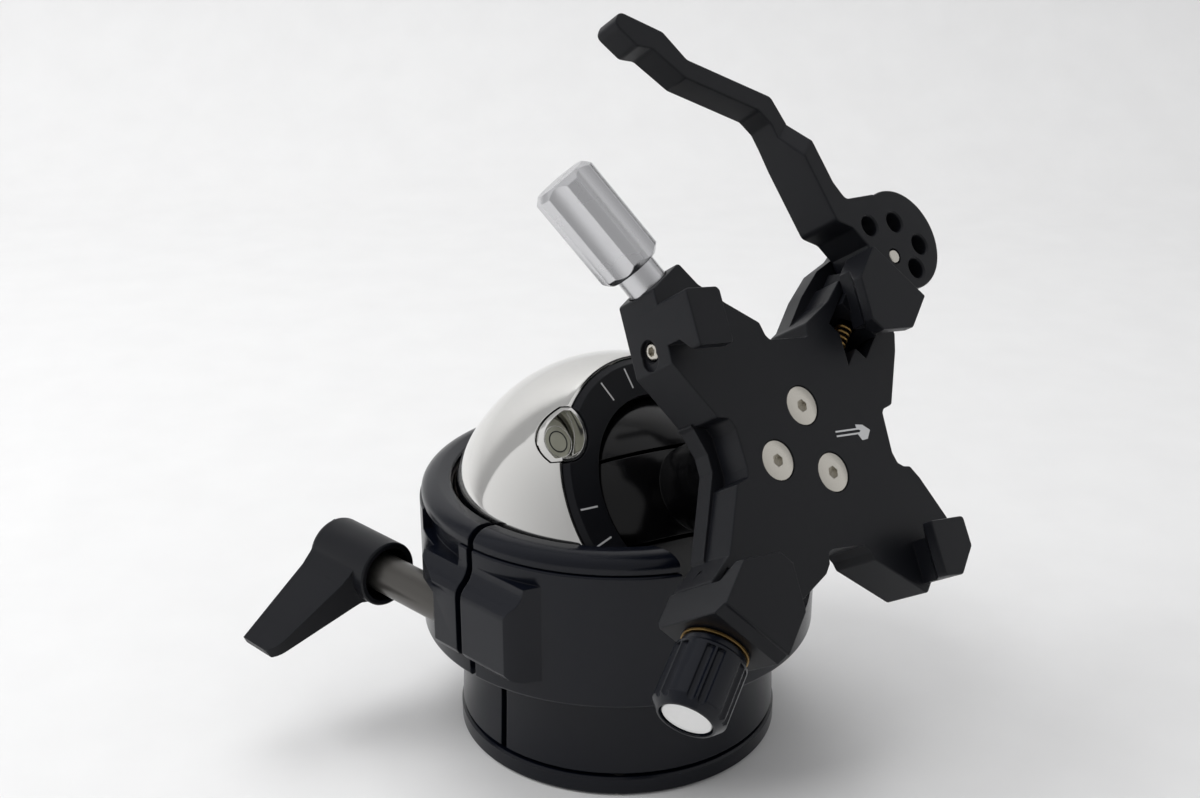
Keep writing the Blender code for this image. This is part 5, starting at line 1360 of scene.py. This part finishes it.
    def build_deck(self) -> None:
        """Milled from one plate: outline, hooks with their undercut, channels, pockets and bores."""
        bottom = DECK - SLAB
        outline = rounded(scaled(self.deck_shares, LIP), CORNER)
        deck = Form.prism("milled_deck", outline, bottom, DECK, CLAMP_PLACE).bevel(EDGE, 2)
        strip = rounded(scaled(self.strip_shares, LIP), CORNER)
        deck.join(Form.prism("strip", strip, bottom + EDGE, LEDGE, CLAMP_PLACE), self.ear())
        for shares in (self.hook_a_shares, self.hook_d_shares):
            outline = rounded(scaled(shares, LIP), CORNER)
            hook = Form.prism("hook", outline, LEDGE, DECK + HOOK, CLAMP_PLACE).bevel(EDGE, 2)
            deck.join(hook.cut(*DOVETAIL.lips()))
        start, end = self.spring_room
        half, floor = self.spring_bore, DECK - self.spring_depth
        deck.cut(
            DOVETAIL.tongue(*self.channel_b, self.diagonal_b, channel=True),
            DOVETAIL.tongue(self.channel_c_start, self.pin_at, self.diagonal_c, channel=True),
            Form.rod("pin_hole", self.pin_bore, 0.0, DECK + REACH, self.diagonal_c @ shift(self.pin_at)),
            Form.rod("spring_bore", half, start, end, self.spring_line()),
            Form.block("spring_mouth", (start, -half, floor), (end, half, DECK + REACH), self.diagonal_c),
            Form.rod("stem_bore", *self.stem_bore, self.silver_line(), MEDIUM),
            Form.rod("stud_bore", *self.stud_bore, self.silver_line()),
            Form.rod("knob_stud_hole", *self.stud_hole, self.stud_line()),
        )
        line = self.set_line()
        deck.cut(
            Form.rod("set_hole", *self.set_hole, self.wall_end, line),
            Form.rod("set_recess", *self.set_recess, self.wall_end, line),
            Form.rod("set_slot", self.set_recess[0], self.set_end, self.wall_end, line, y=self.set_slot),
        )
        hole = scaled(self.sink_hole, MM)
        profile = [(0.0, REACH), (hole[0][0], REACH), *hole, (0.0, hole[-1][1])]
        for x, y in screw_spots():
            spot = CLAMP_PLACE @ shift(x, y, DECK - self.screw_sunk)
            deck.cut(Form.turned("countersink", profile, spot, SMALL))
        deck.dress(BLACK, Body.CLAMP, ("clamp_deck",), "black_anodised")

    def build_fixings(self) -> None:
        """Deck screws, set screw, cam pin and the black knob's stud."""
        for i, (x, y) in enumerate(screw_spots()):
            screw = DECK_SCREW.bright(f"deck_screw_{i}", CLAMP_PLACE @ shift(x, y, DECK - self.screw_sunk))
            screw.dress(STAINLESS, Body.CLAMP, (f"plate_screw_{i + 1}",), "stainless")
        line, start, end = self.set_line(), self.set_start, self.set_end
        radius, soft = self.set_radius, self.set_edge
        profile = [
            (0.0, end), (radius - soft, end), (radius, end - soft), (radius, start + soft),
            (radius - soft, start), (0.0, start),
        ]
        screw = Form.turned("set_screw_bright", profile, line, SMALL)
        socket = circle(self.set_socket, HEX)
        screw.cut(Form.prism("hex", socket, end - self.set_socket_depth, end + REACH, line))
        screw.dress(STAINLESS, Body.CLAMP, ("set_screw",), "stainless")
        top, end, soft = self.pin_top, self.pin_end, self.pin_edge
        profile = [(0.0, top), (self.pin - soft, top), (self.pin, top - soft), (self.pin, end), (0.0, end)]
        place = self.diagonal_c @ shift(self.pin_at, 0.0, DECK)
        pin = Form.turned("cam_pin_bright", profile, place, SMALL)
        pin.dress(STAINLESS, Body.CLAMP, ("cam_pin",), "stainless")
        start, end, soft = self.stud_start, self.stud_end, self.set_edge
        profile = [
            (0.0, end), (self.stud - soft, end), (self.stud, end - soft), (self.stud, start), (0.0, start),
        ]
        stud = Form.turned("knob_stud_bright", profile, self.stud_line(), SMALL)
        stud.dress(STAINLESS, Body.CLAMP, ("knob_stud",), "stainless")

    def build_spring(self) -> None:
        """A helix tube: centre (R cos t, R sin t, p t), a small circle carried square to its path."""
        start, end = self.spring_ends
        steps, sides = 400, 12
        t = np.linspace(0.0, 1.0, steps)
        angle = t * self.spring_turns * math.tau
        radius = self.spring_radius
        path = np.stack((radius * np.cos(angle), radius * np.sin(angle), start + (end - start) * t), axis=1)
        outwards = np.stack((np.cos(angle), np.sin(angle), np.zeros_like(t)), axis=1)
        forward = np.gradient(path, axis=0)
        forward /= np.linalg.norm(forward, axis=1, keepdims=True)
        across = np.cross(forward, outwards)
        around = (np.arange(sides) * (math.tau / sides))[None, :, None]
        ring = np.cos(around) * outwards[:, None] + np.sin(around) * across[:, None]
        tube = path[:, None] + self.spring_wire * ring
        i, j = np.meshgrid(np.arange(steps - 1), np.arange(sides), indexing="ij")
        beside, below = (j + 1) % sides, (i + 1) * sides
        quads = np.stack((i * sides + j, below + j, below + beside, i * sides + beside), axis=2)
        last = (steps - 1) * sides
        caps = [list(range(sides))[::-1], list(range(last, last + sides))]
        faces = quads.reshape(-1, 4).tolist() + caps
        form = Form("jaw_spring_wound", tube.reshape(-1, 3), faces, self.spring_line())
        form.dress(BRONZE, Body.CLAMP, ("jaw_spring",), "bronze")

    def build_arrow(self) -> None:
        """A plain printed arrow along the way that the lens points."""
        low, high = DECK - INK_BELOW, DECK + INK_ABOVE
        arrow = Form.prism("direction_arrow", scaled(self.arrow, MM), low, high, CLAMP_PLACE)
        arrow.dress(PRINT, Body.CLAMP)


@dataclass
class Jaws:
    """The two jaws that slide on their diagonals."""

    half: float = 7.0 * MM
    corner_cut: float = 1.5 * MM
    b_end: float = 39.4 * MM
    block_start: float = 34.0 * MM
    block_end: float = 40.7 * MM
    block_back: float = 39.1 * MM
    block_edge: float = 1.3 * MM
    block_top: float = 2.08 * MM
    block_inset: float = 0.03 * MM
    block_soft: float = 0.25 * MM
    tongue_start: float = 29.5 * MM
    b_tongue_end: float = 34.6 * MM
    stud_hole: tuple[float, float, float] = (1.7 * MM, 23.0 * MM, 47.0 * MM)
    c_end: float = 39.0 * MM
    c_tongue_end: float = 38.97 * MM
    spring_bore: tuple[float, float, float] = (2.1 * MM, 23.5 * MM, 34.4 * MM)

    def build(self, clamp: Clamp) -> None:
        """Makes both jaws.

        Args:
            clamp: What they slide on.
        """
        jaw = self.top_form("black_jaw_milled", self.b_end, clamp.diagonal_b)
        tongue = DOVETAIL.tongue(self.tongue_start, self.b_tongue_end, clamp.diagonal_b)
        jaw.join(self.block_form(clamp.diagonal_b), tongue)
        jaw.cut(Form.rod("hole", *self.stud_hole, clamp.stud_line()))
        jaw.dress(BLACK, Body.BLACK_JAW, ("jaw_b",), "black_anodised")
        jaw = self.top_form("cam_jaw_milled", self.c_end, clamp.diagonal_c)
        jaw.join(DOVETAIL.tongue(self.tongue_start, self.c_tongue_end, clamp.diagonal_c))
        jaw.cut(Form.rod("spring_bore", *self.spring_bore, clamp.spring_line()))
        jaw.dress(BLACK, Body.CAM_JAW, ("jaw_c",), "black_anodised")

    def top_form(self, name: str, end: float, place: Matrix) -> Form:
        """A jaw's top: both lips, the corner between them cut off, and straight sides.

        Args:
            name: The object's name.
            end: Where it ends on its diagonal.
            place: The diagonal, with X outwards.

        Returns:
            The form, with its lips undercut.
        """
        corner, half, cut = LIP * math.sqrt(2.0), self.half, self.corner_cut
        outline = [
            (corner + cut, -cut), (corner + half, -half), (end, -half), (end, half), (corner + half, half),
            (corner + cut, cut),
        ]
        outline = rounded(outline, CORNER, only=(1, 4))
        jaw = Form.prism(name, outline, DECK + GAP, DECK + HOOK, place).bevel(EDGE, 2)
        return jaw.cut(*DOVETAIL.lips())

    def block_form(self, place: Matrix) -> Form:
        """The black jaw's outer block, which reaches down past the deck.

        Args:
            place: The diagonal, with X outwards.

        Returns:
            The form.
        """
        low, high, edge = DECK - SLAB, DECK + HOOK, self.block_edge
        side = [
            (self.block_start, low + EDGE), (self.block_end - edge, low + EDGE), (self.block_end, low + edge),
            (self.block_end, high - self.block_top), (self.block_back, high - EDGE),
            (self.block_start, high - EDGE),
        ]
        half = self.half - self.block_inset
        return Form.prism("block", side, -half, half, place @ UPRIGHT).bevel(self.block_soft, 2)


@dataclass
class CamLever:
    """The lever with its eccentric disc, four lightening holes and stepped handle.

    Attributes:
        place: The pin's axis, with heights over the deck.
        outer_shares: The handle's outer outline from disc to tip, in shares of the disc's radius.
        inner_shares: The inner outline from tip to disc.
        step_outer: The outer point where the handle steps down.
        step_inner: The inner point where it does.
        holes: Distance from the pin in millimetres and angle in degrees of each hole.
    """

    place: Matrix
    disc: float = 9.6 * MM
    offset: float = 4.6 * MM
    offset_turn: float = math.pi / 4
    top: float = 4.0 * MM
    bottom: float = -5.7 * MM
    inset: float = 0.075 * MM
    ramp: float = 4.5 * MM
    corner: float = 1.6 * MM
    soft: float = 0.35 * MM
    disc_edge: float = 0.4 * MM
    hole: float = 1.9 * MM
    hole_edge: float = 0.3 * MM
    pin_hole: float = 1.5 * MM
    step_outer: int = 4
    step_inner: int = 6
    outer_shares: Table = (
        (-0.06, 1.27), (-0.885, 1.177), (-1.094, 1.51), (-1.365, 2.417), (-1.48, 2.865),
        (-1.667, 3.406), (-3.573, 4.073), (-3.99, 4.594), (-4.906, 4.938),
    )
    inner_shares: Table = (
        (-5.104, 4.688), (-4.698, 4.271), (-4.365, 4.24), (-3.729, 3.698), (-2.094, 3.115),
        (-1.875, 2.854), (-1.792, 2.563), (-1.688, 2.094), (-1.292, 0.74), (-0.917, 0.594),
        (-0.55, 0.1),
    )
    holes: Table = ((7.4, 126.0), (7.1, 68.0), (8.1, 15.0), (5.6, -26.0))

    def build(self) -> None:
        """Handle first, cut down to the deck's level, then the disc and the holes."""
        low, top, edge = self.bottom, self.top, self.disc_edge
        middle = edge * ROUND_SHARE
        outer, inner = scaled(self.outer_shares, self.disc), scaled(self.inner_shares, self.disc)
        ends = range(1, len(outer) + len(inner) - 1)
        outline = rounded(outer + inner, self.corner, only=ends)
        lever = Form.prism("cam_lever_milled", outline, low + self.inset, top - self.inset, self.place)
        lever.cut(self.ramp_form(outer[self.step_outer], inner[self.step_inner]))
        lever.bevel(self.soft, 2, 40)
        profile = [
            (0.0, top), (self.disc - edge, top), (self.disc - middle, top - middle),
            (self.disc, top - edge), (self.disc, low + edge), (self.disc - edge, low), (0.0, low),
        ]
        way = self.offset_turn
        centre = self.place @ shift(self.offset * math.cos(way), self.offset * math.sin(way))
        lever.join(Form.turned("disc", profile, centre, LARGE))
        radius, soft, over, under = self.hole, self.hole_edge, top + REACH, low - REACH
        profile = [
            (0.0, over), (radius + soft, over), (radius + soft, top), (radius, top - soft), (radius, under),
            (0.0, under),
        ]
        for reach, angle in self.holes:
            x, y = reach * MM * math.cos(math.radians(angle)), reach * MM * math.sin(math.radians(angle))
            lever.cut(Form.turned("hole", profile, self.place @ shift(x, y), SMALL))
        lever.cut(Form.rod("pin_hole", self.pin_hole, under, over, self.place))
        lever.dress(BLACK, Body.CAM, ("cam_lever",), "black_anodised")

    def ramp_form(self, outer: tuple[float, float], inner: tuple[float, float]) -> Form:
        """What is milled off over the handle, leaving a slope up to the disc's level.

        Args:
            outer: Where the slope starts on the outer side.
            inner: Where it starts on the inner side.

        Returns:
            The cutter.
        """
        across = Vector(outer) - Vector(inner)
        middle = (Vector(outer) + Vector(inner)) / 2
        place = self.place @ shift(middle.x, middle.y) @ turn(math.atan2(-across.x, across.y))
        far, high, half = -self.disc * 4, self.top + REACH, self.disc * 3
        outline = [(far, 0.0), (0.0, 0.0), (self.ramp, self.top), (self.ramp, high), (far, high)]
        return Form.prism("ramp", outline, -half, half, place @ UPRIGHT)


@dataclass
class Knobs:
    """The grooved black knob with its disc, and the fluted silver one on its stem."""

    black: float = 6.0 * MM
    black_start: float = 41.75 * MM
    black_length: float = 12.4 * MM
    black_chamfer: float = 1.5 * MM
    chamfer_shares: Table = ((1.0, 0.0), (0.85, 0.05), (1 / 15, 0.9), (0.0, 1.0))
    collar: float = 5.4 * MM
    collar_height: float = 0.98 * MM
    body_start: float = 1.4 * MM
    body_edge: float = 0.2 * MM
    groove: float = 0.75 * MM
    groove_out: float = 0.19 * MM
    groove_start: float = 1.9 * MM
    groove_turn: float = math.radians(8.5)
    groove_pairs: int = 6
    recess: float = 4.4 * MM
    recess_depth: float = 1.65 * MM
    bore: float = 1.7 * MM
    bore_end: float = 48.5 * MM
    disc: float = 4.1 * MM
    disc_edge: float = 0.15 * MM
    disc_floor: float = 1.35 * MM
    disc_height: float = 1.0 * MM
    washer: float = 5.6 * MM
    washer_ends: tuple[float, float] = (41.0 * MM, 41.45 * MM)
    silver: float = 5.75 * MM
    silver_start: float = 41.3 * MM
    silver_length: float = 19.0 * MM
    silver_chamfer: float = 1.1 * MM
    stem: float = 3.65 * MM
    stem_start: float = 30.0 * MM
    stem_bore: float = 2.7 * MM
    stem_bore_end: float = 34.3 * MM
    flute: float = 4.6 * MM
    flute_depth: float = 0.75 * MM
    flute_count: int = 6

    def build(self, clamp: Clamp) -> None:
        """Makes both knobs.

        Args:
            clamp: What they sit on.
        """
        self.build_black(clamp.stud_line())
        self.build_silver(clamp.silver_line())

    def build_black(self, line: Matrix) -> None:
        """Turned with a chamfer, then milled with pairs of narrow grooves.

        Args:
            line: The knob's axis, with Z outwards.
        """
        start, end = self.black_start, self.black_start + self.black_length
        radius, soft = self.black, self.body_edge
        body, collar = start + self.body_start, start + self.collar_height
        chamfer = [(radius - x, end - y) for x, y in scaled(self.chamfer_shares, self.black_chamfer)]
        profile = [
            (0.0, end), *chamfer, (radius, body), (radius - soft, body - soft), (self.collar, collar),
            (self.collar, start), (0.0, start),
        ]
        knob = Form.turned("black_knob_turned", profile, line, LARGE)
        reach, low = radius + self.groove_out, start + self.groove_start
        grooves = []
        for i in range(self.groove_pairs):
            for side in (-self.groove_turn, self.groove_turn):
                angle = math.tau * i / self.groove_pairs + side
                x, y = reach * math.cos(angle), reach * math.sin(angle)
                grooves.append(Form.rod("groove", self.groove, low, end + REACH, line, SMALL // 2, x, y))
        knob.cut(
            *grooves,
            Form.rod("recess", self.recess, end - self.recess_depth, end + REACH, line, MEDIUM),
            Form.rod("bore", self.bore, start - REACH, self.bore_end, line),
        )
        knob.dress(DRUM_BLACK, Body.JAW_KNOB, ("black_knob",), "black_anodised")
        self.build_disc(end - self.disc_floor, line)
        low, high = self.washer_ends
        washer = [(self.bore, high), (self.washer, high), (self.washer, low), (self.bore, low)]
        form = Form.turned("jaw_washer", washer, line, ring=True)
        form.dress(BRONZE, Body.BLACK_JAW, ("knob_washer",), "bronze")

    def build_disc(self, low: float, line: Matrix) -> None:
        """The pale disc in the knob's end.

        Args:
            low: The disc's underside.
            line: The knob's axis.
        """
        high, soft = low + self.disc_height, self.disc_edge
        cap = [(0.0, high), (self.disc - soft, high), (self.disc, high - soft), (self.disc, low), (0.0, low)]
        Form.turned("knob_disc", cap, line).dress(DISC, Body.JAW_KNOB, ("knob_cap",), "white_disc")

    def build_silver(self, line: Matrix) -> None:
        """A chamfered barrel with wide shallow flutes.

        Args:
            line: The knob's axis, with Z outwards.
        """
        start, end = self.silver_start, self.silver_start + self.silver_length
        radius, cut, floor = self.silver, self.silver_chamfer, self.stem_bore_end
        profile = [
            (0.0, end), (radius - cut, end), (radius, end - cut), (radius, start + cut),
            (radius - cut, start), (self.stem, start), (self.stem, self.stem_start),
            (self.stem_bore, self.stem_start), (self.stem_bore, floor), (0.0, floor),
        ]
        knob = Form.turned("silver_knob_turned", profile, line, LARGE)
        reach = radius + self.flute - self.flute_depth
        spots = circle(reach, self.flute_count, math.pi / self.flute_count)
        low, high = start - GAP, end + GAP
        cutters = [Form.rod("flute", self.flute, low, high, line, MEDIUM, x, y) for x, y in spots]
        knob.cut(*cutters).dress(SATIN, Body.SIDE_KNOB, ("silver_knob",), "satin_silver")


@dataclass(frozen=True)
class Lamp:
    """A round soft box.

    Attributes:
        name: The lamp's name.
        where: Its place in metres.
        size: Its width.
        power: Its power in watts.
    """

    name: str
    where: tuple[float, float, float]
    size: float
    power: float

    def build(self) -> None:
        """Aims it at the middle of the head. No polished face mirrors it as a spot."""
        data = bpy.data.lights.new(self.name, "AREA")
        data.shape = "DISK"
        data.size = self.size
        data.energy = self.power
        lamp = bpy.data.objects.new(self.name, data)
        lamp.visible_glossy = False
        lamp.location = self.where
        aim = Vector((0.0, 0.0, 60 * MM)) - Vector(self.where)
        lamp.rotation_mode = "QUATERNION"
        lamp.rotation_quaternion = aim.to_track_quat("-Z", "Y")
        bpy.context.scene.collection.objects.link(lamp)


@dataclass
class Studio:
    """A pale sweep, soft lights and the photograph's camera.

    Attributes:
        wall: Distance of the sweep's wall behind the head, in metres.
        round_off: Radius where floor meets wall.
        drop: How far the floor lies under the foot.
        sky: Colour of the surround.
        front: The way from which reflections are darker, and how strongly it counts.
        shade_from: How far toward the front the shade starts and ends.
        shade_to: The surround's strength for reflections at both.
        plain: Strength of the surround as a light.
        seen: Strength of the surround as the camera sees it.
    """

    lamps: tuple[Lamp, ...] = (
        Lamp("key", (-0.65, -0.15, 0.65), 0.5, 4.2),
        Lamp("top", (-0.1, 0.2, 0.95), 0.7, 3.0),
    )
    wall: float = 0.53
    wall_top: float = 1.4
    round_off: float = 0.15
    near: float = -1.2
    half_width: float = 1.8
    drop: float = 0.2 * MM
    sky: str = "F4F4F5"
    front: tuple[float, float, float] = (0.1, -0.95, 0.1)
    shade_from: tuple[float, float] = (-0.3, 0.75)
    shade_to: tuple[float, float] = (0.95, 0.5)
    plain: float = 0.62
    seen: float = 0.8
    eye: tuple[float, float, float] = (-3.53 * MM, -276.82 * MM, 175.37 * MM)
    eye_pitch: float = math.radians(68.52)
    lens: float = 47.48

    def build(self) -> None:
        """Sets the whole stage."""
        self.sweep()
        self.world()
        for lamp in self.lamps:
            lamp.build()
        self.camera()
        bpy.context.scene.view_settings.view_transform = "Standard"

    def sweep(self) -> None:
        """The pale floor that runs up behind: a quarter circle joins floor and wall."""
        wall, radius = self.wall, self.round_off
        turns = np.linspace(0, math.pi / 2, 24)
        y = np.concatenate(([self.near], wall - radius + radius * np.sin(turns), [wall]))
        z = np.concatenate(([0.0], radius - radius * np.cos(turns), [self.wall_top]))
        count = len(y)
        x = np.repeat((-self.half_width, self.half_width), count)
        grid = np.column_stack((x, np.tile(y, 2), np.tile(z, 2)))
        i = np.arange(count - 1)
        faces = np.stack((i, i + count, i + count + 1, i + 1), axis=1).tolist()
        mesh = bpy.data.meshes.new("floor")
        mesh.from_pydata(grid.tolist(), [], faces)
        mesh.shade_smooth()
        floor = bpy.data.objects.new("floor", mesh)
        floor.location.z = -self.drop
        bpy.context.scene.collection.objects.link(floor)
        mesh.materials.append(PAPER.material())

    def world(self) -> None:
        """A pale surround: even for the camera, and for reflections darker toward the front."""
        world = bpy.data.worlds.new("studio")
        bpy.context.scene.world = world
        world.use_nodes = True
        tree = world.node_tree
        back = tree.nodes["Background"]
        back.inputs["Color"].default_value = linear(self.sky)
        way = add_node(tree, "ShaderNodeTexCoord").outputs["Generated"]
        side = add_node(tree, "ShaderNodeVectorMath", {"operation": "DOT_PRODUCT"}, {"Vector": way})
        side.inputs[1].default_value = self.front
        near, far = self.shade_from, self.shade_to
        steps = {"From Min": near[0], "From Max": near[1], "To Min": far[0], "To Max": far[1]}
        shade = add_node(tree, "ShaderNodeMapRange", steps, {"Value": side.outputs["Value"]})
        rays = add_node(tree, "ShaderNodeLightPath")
        mirror = add_node(
            tree,
            "ShaderNodeMix",
            {"data_type": "FLOAT", "A": self.plain},
            {"Factor": rays.outputs["Is Glossy Ray"], "B": shade.outputs["Result"]},
        )
        seen = add_node(
            tree,
            "ShaderNodeMix",
            {"data_type": "FLOAT", "B": self.seen},
            {"Factor": rays.outputs["Is Camera Ray"], "A": mirror.outputs["Result"]},
        )
        tree.links.new(seen.outputs["Result"], back.inputs["Strength"])

    def camera(self) -> None:
        """Solved from the photograph's circles and right angles."""
        data = bpy.data.cameras.new("camera")
        data.sensor_width = 36.0
        data.lens = self.lens
        data.clip_start = 10 * MM
        camera = bpy.data.objects.new("camera", data)
        camera.location = self.eye
        camera.rotation_euler = (self.eye_pitch, 0.0, 0.0)
        bpy.context.scene.collection.objects.link(camera)
        bpy.context.scene.camera = camera


def dress_hidden() -> None:
    """Gives the nodes that stay as they are their finishes."""
    finishes = {
        "thread_bushing": STAINLESS, "lower_seat": SLIDE, "tilt_axle": STAINLESS, "tilt_bush": BRONZE,
        "silver_stud": STAINLESS,
    }
    for name, finish in finishes.items():
        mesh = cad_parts[name].data
        mesh.materials.clear()
        mesh.materials.append(finish.material())


def main() -> None:
    """Builds the head and its studio."""
    logging.basicConfig(level=logging.INFO, format="%(message)s")
    base = Base()
    base.build()
    MainLever(base.shaft_place()).build()
    LevellingBall().build()
    InnerBall().build()
    clamp = Clamp()
    clamp.build()
    Jaws().build(clamp)
    CamLever(clamp.pin_place()).build()
    Knobs().build(clamp)
    dress_hidden()
    Studio().build()


if __name__ == "__main__":
    main()
